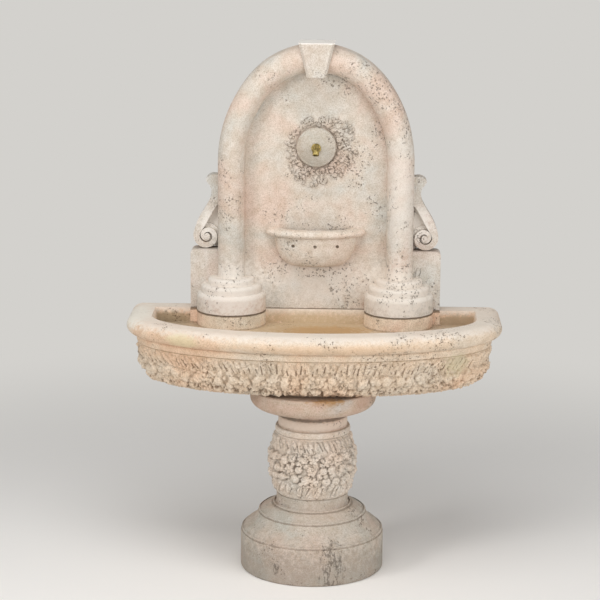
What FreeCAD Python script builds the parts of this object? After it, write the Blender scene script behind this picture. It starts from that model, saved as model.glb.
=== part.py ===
"""Garden wall fountain in cast stone: a turned pedestal, a bow-fronted basin, an arched back panel
with a foliage spout, a small spill bowl, side scrolls, and the pump, tube and drain that make it run.

Millimetres. X to the right, Y towards the wall, Z up. The origin is on the floor, under the middle of
the fountain's width and depth. The wall plane is the back of the panel, the basin and the foot.
"""
import FreeCAD
import Part
import math
import os
from FreeCAD import Vector

X_AXIS = Vector(1, 0, 0)
Y_AXIS = Vector(0, 1, 0)
Z_AXIS = Vector(0, 0, 1)

# Basin
BASIN_DEPTH = 440.0          # wall plane to the front of the rim
BAND_HALF_WIDTH = 510.0      # carved side face, from the middle
RIM_OVERHANG = 33.0          # rim roll beyond the carved face
STRAIGHT_SIDE = 156.0        # length of the straight sides, from the wall to the bow
BASIN_BOTTOM_Z = 537.0
BELLY_HEIGHT = 75.0          # rounded part under the carved face
BELLY_INSET = 110.0
BAND_TOP_Z = 656.0
BAND_BATTER = 10.0           # how far the carved face leans in at its foot
ROLL_BOTTOM_Z = 678.0
RIM_Z = 730.0
FILLET_BULGE = 4.0
RIM_WALL = 40.0              # carved face to the bowl's inner edge
BOWL_FLOOR_Z = 575.0
BOWL_SLOPE = 22.0            # how far the inner side leans in before it turns to the floor
BOWL_TURN = 38.0             # radius-like depth of the turn into the floor
LEDGE_Z = 688.0              # back ledge that carries the risers
LEDGE_DEPTH = 130.0

# Foliage cast on the basin's face and on the barrel: bunches of fruit under or between rows of leaves
BUNCH_SPACING = 78.0         # along the basin's face
BUNCH_SHARE = 0.62           # where a bunch sits on the turn of the belly, from its foot (0) to its top (1)
BARREL_BUNCHES = 9
FRUIT_RADIUS = 17.0
FRUIT_RELIEF = 11.0          # how far the large fruit stands proud
SMALL_FRUIT_RADIUS = 12.0
SMALL_FRUIT_RELIEF = 8.0
LEAF_LENGTH = 42.0
LEAF_RADIUS = 11.5
LEAF_TIP = 2.5
LEAF_SINK = 4.0              # how deep a leaf's axis lies under the face
FRINGE_LEAVES = 4            # leaves of a row to one bunch
FRINGE_LEAN = 16.0           # degrees that they lean
FRINGE_ROOT = 15.0           # how far the basin's row starts down the belly
FRINGE_LENGTH = 49.0

# Back panel
PANEL_THICKNESS = 56.0
ARCH_HALF_WIDTH = 284.0
SPRING_Z = 1167.0
CROWN_Z = 1505.0
ROLL_RADIUS = 39.0           # half-round moulding round the niche
ROLL_STILT = 16.0            # its axis stands this far ahead of the niche face
ROLL_ROOT = 10.0             # how far it runs into the slab
HEAD_RADIUS = 255.0          # outer radius of the arch's head; the haunches follow from it
BASE_DRUM_RADIUS = 101.0
BASE_DRUM_HEIGHT = 57.0
BASE_DRUM_ROUND = 15.0
BASE_RING_RADIUS = 89.0
BASE_RING_HEIGHT = 23.0
BASE_RING_ROUND = 11.0
BASE_COLLAR_RADIUS = 68.0
BASE_COLLAR_HEIGHT = 19.0
BASE_COLLAR_ROUND = 9.0
JOINT_ROUND = 3.5            # worn arris along a joint
RISER_TAIL = 16.0            # square back part of a riser, ahead of the basin's back wall

# Keystone
KEY_TOP_Z = 1514.0
KEY_BOTTOM_Z = 1417.0
KEY_TOP_HALF = 52.0
KEY_BOTTOM_HALF = 28.0
KEY_PROJECTION = 65.0
KEY_CHAMFER = 7.0
MORTAR = 0.4                 # joint left round a piece that is set into another

# Side wings and scrolls
WING_HALF_WIDTH = 366.0
WING_TOP_Z = 906.0
WING_CORNER = 14.0
SCROLL_TOP_Z = 1124.0
SCROLL_DEPTH = 46.0
SCROLL_WEB_DEPTH = 24.0
VOLUTE_RADIUS = 40.0
VOLUTE_PITCH = 21.0          # how far the volute closes in per turn
VOLUTE_TURNS = 1.5
VOLUTE_BAND = 18.0
VOLUTE_TUCK = 6.0            # how far its inner side runs behind the arch
VOLUTE_SEAT = 3.0            # how far its foot is cut flat to stand on the wing
SCROLL_TIP_OUT = 37.0        # curled tip, measured from the arch
SCROLL_TIP_DROP = 14.0       # its middle under the scroll's top
SCROLL_WAIST_DROP = 48.0
SCROLL_WAIST_OUT = 22.0

# Spill bowl on the niche face
SHELF_RIM_Z = 973.0
SHELF_RIM_HEIGHT = 24.0
SHELF_RIM_HALF = 145.0
SHELF_REACH = 74.0
SHELF_OVERHANG = 27.0
SHELF_REACH_OVERHANG = 14.0
SHELF_BODY_HEIGHT = 87.0
SHELF_BODY_INSET = 56.0
SHELF_REACH_INSET = 34.0
SHELF_WALL = 15.0
SHELF_FLOOR = 18.0
DRIP_HOLE_Z = 927.0
DRIP_HOLE_RADIUS = 5.0
DRIP_HOLE_SPACING = 64.0

# Spout, boss and wreath
SPOUT_Z = 1210.0
BOSS_RADIUS = 57.0
BOSS_EDGE = 12.0
BOSS_DOME = 26.0
WREATH_INNER = 61.0
WREATH_RELIEF = 11.0
WREATH_BED = 3.5             # low ground under the sprays
WREATH_BED_RADIUS = 76.0
WREATH_LEAVES = 27
WREATH_SLANT = 20.0          # degrees, to either side in turn
WREATH_REACH = (124, 116, 78, 104, 88, 110, 116, 120)    # every eighth of a turn from the right, upwards
SPOUT_RADIUS = 9.5
SPOUT_BORE = 6.5
SPOUT_STRAIGHT = 18.0
SPOUT_BEND = 16.0
SPOUT_DROOP = 62.0           # degrees that the mouth turns down
SPOUT_LIP = 8.0
SPOUT_COLLAR_RADIUS = 14.0
SPOUT_COLLAR_THICKNESS = 4.0

# Pedestal
FOOT_RADIUS = 208.0
CORE_RADIUS = 60.0
FOOT_DRUM_HEIGHT = 100.0
NECK_RADIUS = 104.0
FOOT_TOP_Z = 224.0
SHAFT_BELLY_RADIUS = 119.0
SHAFT_END_RADIUS = 107.0
SHAFT_TOP_Z = 424.0
SHAFT_RING_RADIUS = 109.0
SHAFT_RING_HEIGHT = 19.0
CAP_NECK_RADIUS = 100.0
CAP_RADIUS = 182.0
CAP_THICKNESS = 56.0
CAP_ROUND = 20.0
SPIGOT_HEIGHT = 10.0
SPIGOT_RADIUS = 78.0
SPIGOT_CLEARANCE = 0.4

# Supply tube and its fittings
TUBE_RADIUS = 8.0
TUBE_BORE = 6.0
BARB_CLEARANCE = 0.1
CHASE_HALF_WIDTH = 17.0
CHASE_DEPTH = 27.0
CHASE_MARGIN = 22.0
HOSE_X = 72.0
HOSE_Z = 622.0
ELBOW_RADIUS = 9.5
ELBOW_LEG = 15.0
BARB_LENGTH = 14.0
GROMMET_BORE_RADIUS = 12.0
GROMMET_FLANGE = 17.0
GROMMET_LIP = 3.0
GROMMET_LENGTH = 20.0
WASHER_THICKNESS = 2.0
CLAMP_BAND = 1.2
CLAMP_WIDTH = 8.0
CLAMP_LUG = 5.0

# Drain
DRAIN_AHEAD = 24.0           # drain ahead of the pedestal's axis
DRAIN_FLANGE_RADIUS = 32.0
DRAIN_FLANGE_THICKNESS = 4.0
DRAIN_TAIL_RADIUS = 16.0
DRAIN_BORE_RADIUS = 12.0
DRAIN_TAIL_BELOW = 32.0
DRAIN_NUT_RADIUS = 27.0
DRAIN_NUT_HEIGHT = 11.0
GASKET_THICKNESS = 2.0
STOPPER_CLEARANCE = 0.3
STOPPER_DEPTH = 12.0
STOPPER_HEAD_RADIUS = 15.0
STOPPER_HEAD = 3.5
STOPPER_LUG = 14.0

# Pump
PUMP_AHEAD = 74.0            # pump ahead of the back ledge
PUMP_LENGTH = 70.0           # motor housing alone
PUMP_WIDTH = 52.0
PUMP_HEIGHT = 54.0
PUMP_ROUND = 9.0
VOLUTE_COVER_RADIUS = 23.0
VOLUTE_COVER_LENGTH = 20.0
PUMP_WALL = 2.5
INLET_LENGTH = 12.0
INLET_SLOTS = 5
INLET_SLOT_WIDTH = 3.0
IMPELLER_RADIUS = 16.0
IMPELLER_BLADES = 6
IMPELLER_THICKNESS = 9.0
MAGNET_RADIUS = 9.0
MAGNET_LENGTH = 34.0
ROTOR_GAP = 0.8
ROTOR_SHAFT_RADIUS = 1.5
ROTOR_FIT = 0.05
BUSH_RADIUS = 4.0
BUSH_LENGTH = 4.0
DIAL_RADIUS = 9.0
DIAL_THICKNESS = 4.0
DIAL_GAP = 0.3
CUP_RADIUS = 9.0
CUP_HEIGHT = 5.0
CUP_STEM = 3.0
GLAND_RADIUS = 5.5
GLAND_LENGTH = 14.0

# Wall hangers
HANGER_X = 150.0
HANGER_Z = 1290.0
HANGER_WIDTH = 70.0
HANGER_HEIGHT = 34.0
HANGER_THICKNESS = 3.0
HANGER_POCKET = 9.0
HANGER_HOLE_RADIUS = 6.0
HANGER_SLOT_RADIUS = 2.6
HANGER_SLOT_RISE = 11.0
SCREW_RADIUS = 2.2
SCREW_HEAD_RADIUS = 4.2
SCREW_LENGTH = 22.0
SCREW_SPACING = 54.0

# Places that follow from the sizes above
WALL_Y = BASIN_DEPTH / 2
FACE_Y = WALL_Y - PANEL_THICKNESS
BOW_Y = WALL_Y - STRAIGHT_SIDE
BAND_REACH = BASIN_DEPTH - STRAIGHT_SIDE - RIM_OVERHANG
AXIS_Y = WALL_Y - FOOT_RADIUS
COLUMN_X = ARCH_HALF_WIDTH - ROLL_RADIUS
COLUMN_Y = FACE_Y - ROLL_STILT
HEAD_Z = CROWN_Z - HEAD_RADIUS
ARCH_STRETCH = CROWN_Z - SPRING_Z - ARCH_HALF_WIDTH
HAUNCH_X = ARCH_STRETCH * (2 * (HEAD_Z - SPRING_Z) - ARCH_STRETCH) / (2 * (HEAD_Z - SPRING_Z - ARCH_STRETCH))
LEDGE_FRONT_Y = FACE_Y - LEDGE_DEPTH
DRAIN_Y = AXIS_Y - DRAIN_AHEAD
PUMP_Y = LEDGE_FRONT_Y - PUMP_AHEAD
BELLY_TOP_Z = BASIN_BOTTOM_Z + BELLY_HEIGHT
BASE_TOP_Z = RIM_Z + BASE_DRUM_HEIGHT + BASE_RING_HEIGHT + BASE_COLLAR_HEIGHT
TUBE_Y = WALL_Y - CHASE_DEPTH / 2
CAP_BOTTOM_Z = BASIN_BOTTOM_Z - CAP_THICKNESS
PUMP_Z = BOWL_FLOOR_Z + CUP_HEIGHT + PUMP_HEIGHT / 2
VOLUTE_START_X = HOSE_X - VOLUTE_COVER_LENGTH / 2
HOUSING_START_X = VOLUTE_START_X + VOLUTE_COVER_LENGTH
INLET_START_X = VOLUTE_START_X - INLET_LENGTH
RISER_START = Vector(HOSE_X, TUBE_Y, HOSE_Z)
RISER_END = Vector(0, TUBE_Y, SPOUT_Z)
RISER_DIRECTION = (RISER_END - RISER_START).normalize()
DRAIN_SEAT_Z = BOWL_FLOOR_Z + GASKET_THICKNESS
DRAIN_TOP_Z = DRAIN_SEAT_Z + DRAIN_FLANGE_THICKNESS


def box(x0, x1, y0, y1, z0, z1):
    """Block between two corners."""
    return Part.makeBox(x1 - x0, y1 - y0, z1 - z0, Vector(x0, y0, z0))


def rod(radius, length, start, direction):
    """Round bar from a start point along a direction."""
    return Part.makeCylinder(radius, length, start, direction)


def pipe(outer, inner, length, start, direction):
    """Round tube with a through bore."""
    return rod(outer, length, start, direction).cut(rod(inner, length, start, direction))


def line(a, b):
    """Straight edge."""
    return Part.LineSegment(a, b).toShape()


def arc(a, via, b):
    """Round edge through three points."""
    return Part.Arc(a, via, b).toShape()


def outline(start, steps, place):
    """Closed wire from a start point and steps; a step is one point, or two for an arc."""
    edges = []
    here = place(*start)
    for step in steps:
        end = place(*step[-1])
        if len(step) == 2:
            edges.append(arc(here, place(*step[0]), end))
        else:
            edges.append(line(here, end))
        here = end
    edges.append(line(here, place(*start)))
    return Part.Wire(edges)


def turned(start, steps, axis_x=0.0, axis_y=None):
    """Solid of revolution about a vertical axis from an outline of (radius, height) points."""
    y = AXIS_Y if axis_y is None else axis_y
    wire = outline(start, steps, lambda r, z: Vector(axis_x + r, y, z))
    return Part.Face(wire).revolve(Vector(axis_x, y, 0), Z_AXIS, 360)


def turned_forward(start, steps, centre):
    """Solid of revolution about the Y axis through a centre, from (radius, y) points."""
    wire = outline(start, steps, lambda r, y: Vector(centre.x + r, y, centre.z))
    return Part.Face(wire).revolve(centre, Y_AXIS, 360)


def fused(shapes):
    """One solid from overlapping or touching ones."""
    return shapes[0].multiFuse(shapes[1:])


def without_seams(shape):
    """The same shape with the seams between its flush faces merged, on a copy, because merging alters its input."""
    merged = shape.copy().removeSplitter()
    same = merged.isValid() and abs(merged.Volume - shape.Volume) < 1e-5 * shape.Volume
    return merged if same else shape


def bow_plan(inset, z, back=None):
    """Plan of the basin at one height: a half ellipse in front, straight sides and a flat back."""
    back_y = WALL_Y if back is None else back
    a = BAND_HALF_WIDTH - inset
    b = BAND_REACH - inset
    return half_ellipse_plan(a, b, BOW_Y, back_y, z)


def half_ellipse_plan(a, b, centre_y, back_y, z):
    """Closed wire: half ellipse towards the front, closed by a flat back at back_y."""
    bow = Part.ArcOfEllipse(Part.Ellipse(Vector(0, centre_y, z), a, b), math.pi, 2 * math.pi)
    right, left = Vector(a, centre_y, z), Vector(-a, centre_y, z)
    back_right, back_left = Vector(a, back_y, z), Vector(-a, back_y, z)
    if abs(back_y - centre_y) < 1e-6:
        return Part.Wire([bow.toShape(), line(right, left)])
    return Part.Wire([bow.toShape(), line(right, back_right), line(back_right, back_left),
                      line(back_left, left)])


def quarter_turn(steps):
    """Sine and cosine pairs for a rounded corner in equal angles."""
    return [(math.sin(math.radians(90 * k / steps)), math.cos(math.radians(90 * k / steps)))
            for k in range(steps + 1)]


def pedestal_foot():
    """Heavy drum with a moulded shoulder and neck, cast round a hollow core."""
    r = FOOT_RADIUS
    drum = FOOT_DRUM_HEIGHT
    neck = NECK_RADIUS
    arris = 5.0
    return turned((CORE_RADIUS, 0), [
        ((r - arris, 0),),
        ((r - 0.3 * arris, 0.3 * arris), (r, arris)),
        ((r, drum),),
        ((r - 1.5, drum + 8), (r - 5, drum + 13)),
        ((r - 12, drum + 22), (r - 24, drum + 32)),
        ((r - 40, drum + 44), (r - 50, drum + 60)),
        ((r - 52, drum + 65),),
        ((r - 70, drum + 78), (neck + 8, drum + 88)),
        ((neck + 2, drum + 91), (neck, drum + 98)),
        ((neck, FOOT_TOP_Z),),
        ((SPIGOT_RADIUS, FOOT_TOP_Z),),
        ((SPIGOT_RADIUS, FOOT_TOP_Z + SPIGOT_HEIGHT),),
        ((CORE_RADIUS, FOOT_TOP_Z + SPIGOT_HEIGHT),),
    ])


def pedestal_shaft():
    """Swelling barrel that carries the carved foliage, with a plain ring at its top."""
    end = SHAFT_END_RADIUS
    ring_z = SHAFT_TOP_Z - SHAFT_RING_HEIGHT
    socket = SPIGOT_RADIUS + SPIGOT_CLEARANCE
    socket_z = FOOT_TOP_Z + SPIGOT_HEIGHT + 1
    middle_z = (FOOT_TOP_Z + ring_z) / 2
    groove = 4.0
    ring = SHAFT_RING_RADIUS
    return turned((socket, FOOT_TOP_Z), [
        ((end - groove, FOOT_TOP_Z),),
        ((end, FOOT_TOP_Z + groove),),
        ((SHAFT_BELLY_RADIUS, middle_z), (end, ring_z - groove)),
        ((end - groove, ring_z),),
        ((ring - 2, ring_z + 2),),
        ((ring, ring_z + SHAFT_RING_HEIGHT / 2), (ring - 3, SHAFT_TOP_Z),),
        ((SPIGOT_RADIUS, SHAFT_TOP_Z),),
        ((SPIGOT_RADIUS, SHAFT_TOP_Z + SPIGOT_HEIGHT),),
        ((CORE_RADIUS, SHAFT_TOP_Z + SPIGOT_HEIGHT),),
        ((CORE_RADIUS, socket_z),),
        ((socket, socket_z),),
    ])


def leaf(face, u, v, degrees, length, scale=1.0):
    """Pointed leaf half sunk in a face, broad at its root; a face gives a point and its outward direction."""
    turn = math.radians(degrees)
    root, root_out = face(u, v)
    tip, tip_out = face(u + length * math.cos(turn), v + length * math.sin(turn))
    start = root - root_out * (scale * LEAF_SINK)
    way = tip - tip_out * (0.3 * LEAF_TIP) - start
    return Part.makeCone(scale * LEAF_RADIUS, LEAF_TIP, way.Length, start, way)


def fruit(face, u, v, radius, relief):
    """Round fruit that stands proud of a face by its relief."""
    seat, out = face(u, v)
    return Part.makeSphere(radius, seat + out * (relief - radius))


def bunch(face, u, v):
    """One large fruit, a small one on either side, and three leaves that spread from under them."""
    forms = [fruit(face, u, v, FRUIT_RADIUS, FRUIT_RELIEF)]
    for side, rise in ((-1, 0.5), (1, -0.4)):
        forms.append(fruit(face, u + side * 1.4 * FRUIT_RADIUS, v + rise * FRUIT_RADIUS,
                           SMALL_FRUIT_RADIUS, SMALL_FRUIT_RELIEF))
    for degrees in (55, 200, 290):
        turn = math.radians(degrees)
        forms.append(leaf(face, u + 0.5 * FRUIT_RADIUS * math.cos(turn), v + 0.5 * FRUIT_RADIUS * math.sin(turn),
                          degrees, LEAF_LENGTH))
    return forms


def shaft_foliage():
    """Carved field of the barrel: bunches round its belly between two rows of leaves that slant the same way."""
    high = SHAFT_TOP_Z - SHAFT_RING_HEIGHT
    middle = Vector(0, AXIS_Y, (FOOT_TOP_Z + high) / 2)
    half = high - middle.z
    rise = SHAFT_BELLY_RADIUS - SHAFT_END_RADIUS
    swell = (half * half + rise * rise) / (2 * rise)

    def face(u, v):
        """Point of the barrel and its outward direction: u round it, v up from its middle."""
        level = Vector(math.cos(u / SHAFT_BELLY_RADIUS), math.sin(u / SHAFT_BELLY_RADIUS), 0)
        out = level * math.sqrt(1 - (v / swell) ** 2) + Z_AXIS * (v / swell)
        return middle + level * (SHAFT_BELLY_RADIUS - swell) + out * swell, out

    around = 2 * math.pi * SHAFT_BELLY_RADIUS
    count = BARREL_BUNCHES * FRINGE_LEAVES
    forms = []
    for k in range(BARREL_BUNCHES):
        forms += bunch(face, around * k / BARREL_BUNCHES, 0)
    for k in range(count):
        for side in (-1, 1):
            forms.append(leaf(face, around * k / count, side * (half - FRINGE_LENGTH),
                              side * (90 - FRINGE_LEAN), FRINGE_LENGTH - LEAF_TIP))
    return fused(forms).cut(pedestal_shaft())


def pedestal_cap():
    """Neck and thick round plate on which the basin sits."""
    socket = SPIGOT_RADIUS + SPIGOT_CLEARANCE
    socket_z = SHAFT_TOP_Z + SPIGOT_HEIGHT + 1
    neck = CAP_NECK_RADIUS
    cove = 8.0
    rim = CAP_RADIUS
    under = CAP_BOTTOM_Z
    return turned((socket, SHAFT_TOP_Z), [
        ((neck, SHAFT_TOP_Z),),
        ((neck, under - cove),),
        ((neck + 0.3 * cove, under - 0.3 * cove), (neck + cove, under)),
        ((rim - 2 * CAP_ROUND, under + 3),),
        ((rim - 0.35 * CAP_ROUND, under + 3 + 0.4 * CAP_ROUND), (rim, under + 3 + 1.3 * CAP_ROUND)),
        ((rim, BASIN_BOTTOM_Z - 3),),
        ((rim - 3, BASIN_BOTTOM_Z),),
        ((CORE_RADIUS, BASIN_BOTTOM_Z),),
        ((CORE_RADIUS, socket_z),),
        ((socket, socket_z),),
    ])


def basin_outside():
    """Outer form of the basin: rounded belly, battered band, small fillet and rim roll."""
    belly = Part.makeLoft([bow_plan(BAND_BATTER + BELLY_INSET * (1 - s), BELLY_TOP_Z - BELLY_HEIGHT * c)
                           for s, c in quarter_turn(6)], True, False)
    band = Part.makeLoft([bow_plan(BAND_BATTER, BELLY_TOP_Z), bow_plan(0, BAND_TOP_Z)], True, True)
    fillet_height = ROLL_BOTTOM_Z - BAND_TOP_Z
    fillet_angles = [math.radians(180 * k / 4) for k in range(5)]
    fillet = Part.makeLoft([bow_plan(-FILLET_BULGE * math.sin(t),
                                     BAND_TOP_Z + fillet_height * (1 - math.cos(t)) / 2)
                            for t in fillet_angles], True, False)
    roll_height = RIM_Z - ROLL_BOTTOM_Z
    roll_angles = [math.radians(180 * k / 8) for k in range(9)]
    roll = Part.makeLoft([bow_plan(-RIM_OVERHANG * math.sin(t),
                                   ROLL_BOTTOM_Z + roll_height * (1 - math.cos(t)) / 2)
                          for t in roll_angles], True, False)
    return [belly, band, fillet, roll]


def basin_hollow():
    """Water space: the bowl in front, and the shallow part over the back ledge."""
    turn_z = BOWL_FLOOR_Z + BOWL_TURN
    inner = RIM_WALL + BOWL_SLOPE
    side = Part.makeLoft([bow_plan(inner, turn_z, FACE_Y), bow_plan(RIM_WALL, RIM_Z, FACE_Y)], True, True)
    floor = Part.makeLoft([bow_plan(inner + BOWL_TURN * (1 - s), turn_z - BOWL_TURN * c, FACE_Y)
                           for s, c in quarter_turn(4)], True, False)
    ledge = box(-BAND_HALF_WIDTH, BAND_HALF_WIDTH, LEDGE_FRONT_Y, WALL_Y, BASIN_BOTTOM_Z, LEDGE_Z)
    return side.fuse(floor).cut(ledge)


def chase(z_low, z_high):
    """Slanting channel in the back for the supply tube, between two heights."""
    half = Vector(CHASE_HALF_WIDTH / RISER_DIRECTION.z, 0, 0)
    slope = Vector(RISER_DIRECTION.x / RISER_DIRECTION.z, 0, 1)
    low = RISER_START + slope * (z_low - HOSE_Z)
    high = RISER_START + slope * (z_high - HOSE_Z)
    front = Vector(0, WALL_Y - CHASE_DEPTH - TUBE_Y, 0)
    wire = Part.makePolygon([low - half + front, low + half + front, high + half + front,
                             high - half + front, low - half + front])
    return Part.Face(wire).extrude(Vector(0, CHASE_DEPTH + 1, 0))


def basin():
    """Bow-fronted basin with a back ledge, a drain hole, the hose bore and the chase behind."""
    body = fused(basin_outside()).cut(basin_hollow())
    drain = rod(DRAIN_TAIL_RADIUS + MORTAR, BOWL_FLOOR_Z - BASIN_BOTTOM_Z + 2,
                Vector(0, DRAIN_Y, BASIN_BOTTOM_Z - 1), Z_AXIS)
    hose = rod(GROMMET_BORE_RADIUS, WALL_Y - LEDGE_FRONT_Y, Vector(HOSE_X, LEDGE_FRONT_Y - 1, HOSE_Z), Y_AXIS)
    channel = chase(HOSE_Z - CHASE_MARGIN, RIM_Z + 1)
    return body.cut(drain).cut(hose).cut(channel)


def basin_foliage():
    """Carved field of the basin: bunches on the turn of the belly, under leaves that lean to the middle."""
    bow = bow_plan(BAND_BATTER, BELLY_TOP_Z).Edges[0]
    turn_size = (BELLY_HEIGHT + BELLY_INSET) / 2

    def face(u, v):
        """Point of the carved face and its outward direction: u along the plan from the front, v up from the belly."""
        turn = max(0, -v) / turn_size
        inset = BAND_BATTER + BELLY_INSET * (1 - math.cos(turn))
        z = BELLY_TOP_Z + max(0, v) - BELLY_HEIGHT * math.sin(turn)
        a, b = BAND_HALF_WIDTH - inset, BAND_REACH - inset
        beyond = abs(u) - bow.Length / 2
        if beyond < 0:
            t = bow.getParameterByLength(bow.Length / 2 + u)
            point = Vector(a * math.cos(t), BOW_Y + b * math.sin(t), z)
            level = Vector(math.cos(t) / a, math.sin(t) / b, 0).normalize()
        else:
            level = Vector(math.copysign(1, u), 0, 0)
            point = level * a + Vector(0, BOW_Y + beyond, z)
        out = Vector(BELLY_HEIGHT * math.cos(turn), -BELLY_INSET * math.sin(turn), 0).normalize()
        return point, level * out.x + Z_AXIS * out.y

    reach = bow.Length / 2 + STRAIGHT_SIDE
    count = int(2 * reach / BUNCH_SPACING)
    forms = []
    for k in range(count):
        forms += bunch(face, reach * ((2 * k + 1) / count - 1), -(1 - BUNCH_SHARE) * math.pi / 2 * turn_size)
    for k in range(count * FRINGE_LEAVES):
        u = reach * ((2 * k + 1) / (count * FRINGE_LEAVES) - 1)
        forms.append(leaf(face, u, -FRINGE_ROOT, 90 + FRINGE_LEAN * u / reach, FRINGE_LENGTH))
    room = box(-2 * BAND_HALF_WIDTH, 2 * BAND_HALF_WIDTH, WALL_Y - BASIN_DEPTH, WALL_Y, BASIN_BOTTOM_Z, BAND_TOP_Z)
    return fused(forms).common(room).cut(fused(basin_outside()[:2]))


def riser(side):
    """Low drum with a square tail that stands on the ledge and carries a column base."""
    x = side * COLUMN_X
    drum = rod(BASE_DRUM_RADIUS, RIM_Z - LEDGE_Z, Vector(x, COLUMN_Y, LEDGE_Z), Z_AXIS)
    outer, inner = sorted((side * WING_HALF_WIDTH, x))
    tail = box(outer, inner, FACE_Y - RISER_TAIL, FACE_Y, LEDGE_Z, RIM_Z)
    behind = box(-BAND_HALF_WIDTH, BAND_HALF_WIDTH, FACE_Y, 2 * WALL_Y, 0, CROWN_Z)
    return drum.cut(behind).fuse(tail)


def arch_meeting(inset):
    """Where the left haunch of the arch meets its head, at one inset from the outer line."""
    reach = math.hypot(HAUNCH_X, HEAD_Z - SPRING_Z)
    haunch = ARCH_HALF_WIDTH + HAUNCH_X - inset
    return HAUNCH_X * (1 - haunch / reach), SPRING_Z + haunch * (HEAD_Z - SPRING_Z) / reach


def arch_outline(inset, y, z_foot):
    """Closed wire of the three-centred arch and its straight sides."""
    half = ARCH_HALF_WIDTH - inset
    meet_x, meet_z = arch_meeting(inset)
    middle = math.atan2(meet_z - SPRING_Z, HAUNCH_X - meet_x) / 2
    haunch = half + HAUNCH_X
    mid_x, mid_z = HAUNCH_X - haunch * math.cos(middle), SPRING_Z + haunch * math.sin(middle)
    return outline((-half, z_foot), [
        ((-half, SPRING_Z),),
        ((mid_x, mid_z), (meet_x, meet_z)),
        ((0, CROWN_Z - inset), (-meet_x, meet_z)),
        ((-mid_x, mid_z), (half, SPRING_Z)),
        ((half, z_foot),),
    ], lambda x, z: Vector(x, y, z))


def arch_moulding(z_foot):
    """Half-round moulding along the arch line, as straight legs, haunches and a head."""
    r = ROLL_RADIUS
    root_y = FACE_Y + ROLL_ROOT
    section = Part.Face(outline((-COLUMN_X - r, root_y), [
        ((-COLUMN_X - r, COLUMN_Y),),
        ((-COLUMN_X, COLUMN_Y - r), (-COLUMN_X + r, COLUMN_Y)),
        ((-COLUMN_X + r, root_y),),
    ], lambda x, y: Vector(x, y, SPRING_Z)))
    turn = math.degrees(math.atan2(HEAD_Z - SPRING_Z, HAUNCH_X))
    leg = section.extrude(Vector(0, 0, z_foot - SPRING_Z))
    haunch_centre = Vector(HAUNCH_X, 0, SPRING_Z)
    haunch = section.revolve(haunch_centre, Y_AXIS, turn)
    start = section.copy()
    start.rotate(haunch_centre, Y_AXIS, turn)
    head = start.revolve(Vector(0, 0, HEAD_Z), Y_AXIS, 2 * (90 - turn))
    mirror = (Vector(0, 0, 0), X_AXIS)
    return [leg, haunch, head, haunch.mirror(*mirror), leg.mirror(*mirror)]


def column_base(side):
    """Turned base of one leg of the moulding: drum, ring and collar with rounded shoulders."""
    rings = [(BASE_DRUM_RADIUS, BASE_DRUM_HEIGHT, BASE_DRUM_ROUND), (BASE_RING_RADIUS, BASE_RING_HEIGHT, BASE_RING_ROUND),
             (BASE_COLLAR_RADIUS, BASE_COLLAR_HEIGHT, BASE_COLLAR_ROUND)]
    z, e = RIM_Z, JOINT_ROUND
    steps = [((rings[0][0] - e, z),), ((rings[0][0] - 0.3 * e, z + 0.3 * e), (rings[0][0], z + e))]
    for k, (radius, height, e) in enumerate(rings):
        if k:
            steps.append(((radius, z),))
        z += height
        steps.append(((radius, z - e),))
        steps.append(((radius - 0.293 * e, z - 0.293 * e), (radius - e, z)))
    steps.append(((0, z),))
    stack = turned((0, RIM_Z), steps, side * COLUMN_X, COLUMN_Y)
    behind = box(-BAND_HALF_WIDTH, BAND_HALF_WIDTH, FACE_Y, 2 * WALL_Y, 0, CROWN_Z)
    return stack.cut(behind)


def keystone_block(grow, projection):
    """Tapered block; grow widens it all round for the pocket that takes it."""
    top, bottom = KEY_TOP_HALF + grow, KEY_BOTTOM_HALF + grow
    y = FACE_Y - projection
    wire = Part.makePolygon([Vector(-bottom, y, KEY_BOTTOM_Z - grow), Vector(bottom, y, KEY_BOTTOM_Z - grow),
                             Vector(top, y, KEY_TOP_Z + grow), Vector(-top, y, KEY_TOP_Z + grow),
                             Vector(-bottom, y, KEY_BOTTOM_Z - grow)])
    return Part.Face(wire).extrude(Vector(0, WALL_Y - y, 0))


def keystone():
    """Keystone with chamfered front edges, proud of the arch moulding."""
    block = keystone_block(0, KEY_PROJECTION)
    front = [e for e in block.Edges
             if all(abs(v.Y - (FACE_Y - KEY_PROJECTION)) < 0.01 for v in e.Vertexes)
             and abs(e.Vertexes[0].Z - e.Vertexes[1].Z) > 1]
    return block.makeChamfer(KEY_CHAMFER, front)


def back_panel():
    """Arched slab with the half-round moulding, its two column bases and pockets behind."""
    slab = Part.Face(arch_outline(0, FACE_Y, RIM_Z)).extrude(Vector(0, PANEL_THICKNESS, 0))
    body = fused([slab] + arch_moulding(BASE_TOP_Z - BASE_COLLAR_ROUND) + [column_base(-1), column_base(1)])
    pocket = keystone_block(MORTAR, 2 * KEY_PROJECTION)
    nipple = rod(SPOUT_RADIUS + MORTAR, PANEL_THICKNESS + 2, Vector(0, FACE_Y - 1, SPOUT_Z), Y_AXIS)
    body = body.cut(pocket).cut(nipple).cut(chase(RIM_Z - 1, SPOUT_Z + CHASE_MARGIN))
    for side in (-1, 1):
        body = body.cut(hanger_pocket(side))
    return body


def wing(side):
    """Block beside the arch foot, with a rounded outer shoulder."""
    a, b = sorted((side * (ARCH_HALF_WIDTH), side * WING_HALF_WIDTH))
    block = box(a, b, FACE_Y, WALL_Y, RIM_Z, WING_TOP_Z)
    shoulder = [e for e in block.Edges
                if all(abs(v.X - side * WING_HALF_WIDTH) < 0.01 and abs(v.Z - WING_TOP_Z) < 0.01
                       for v in e.Vertexes)]
    return block.makeFillet(WING_CORNER, shoulder)


def curve(points):
    """Smooth edge through points."""
    spline = Part.BSplineCurve()
    spline.interpolate(points)
    return spline.toShape()


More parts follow.
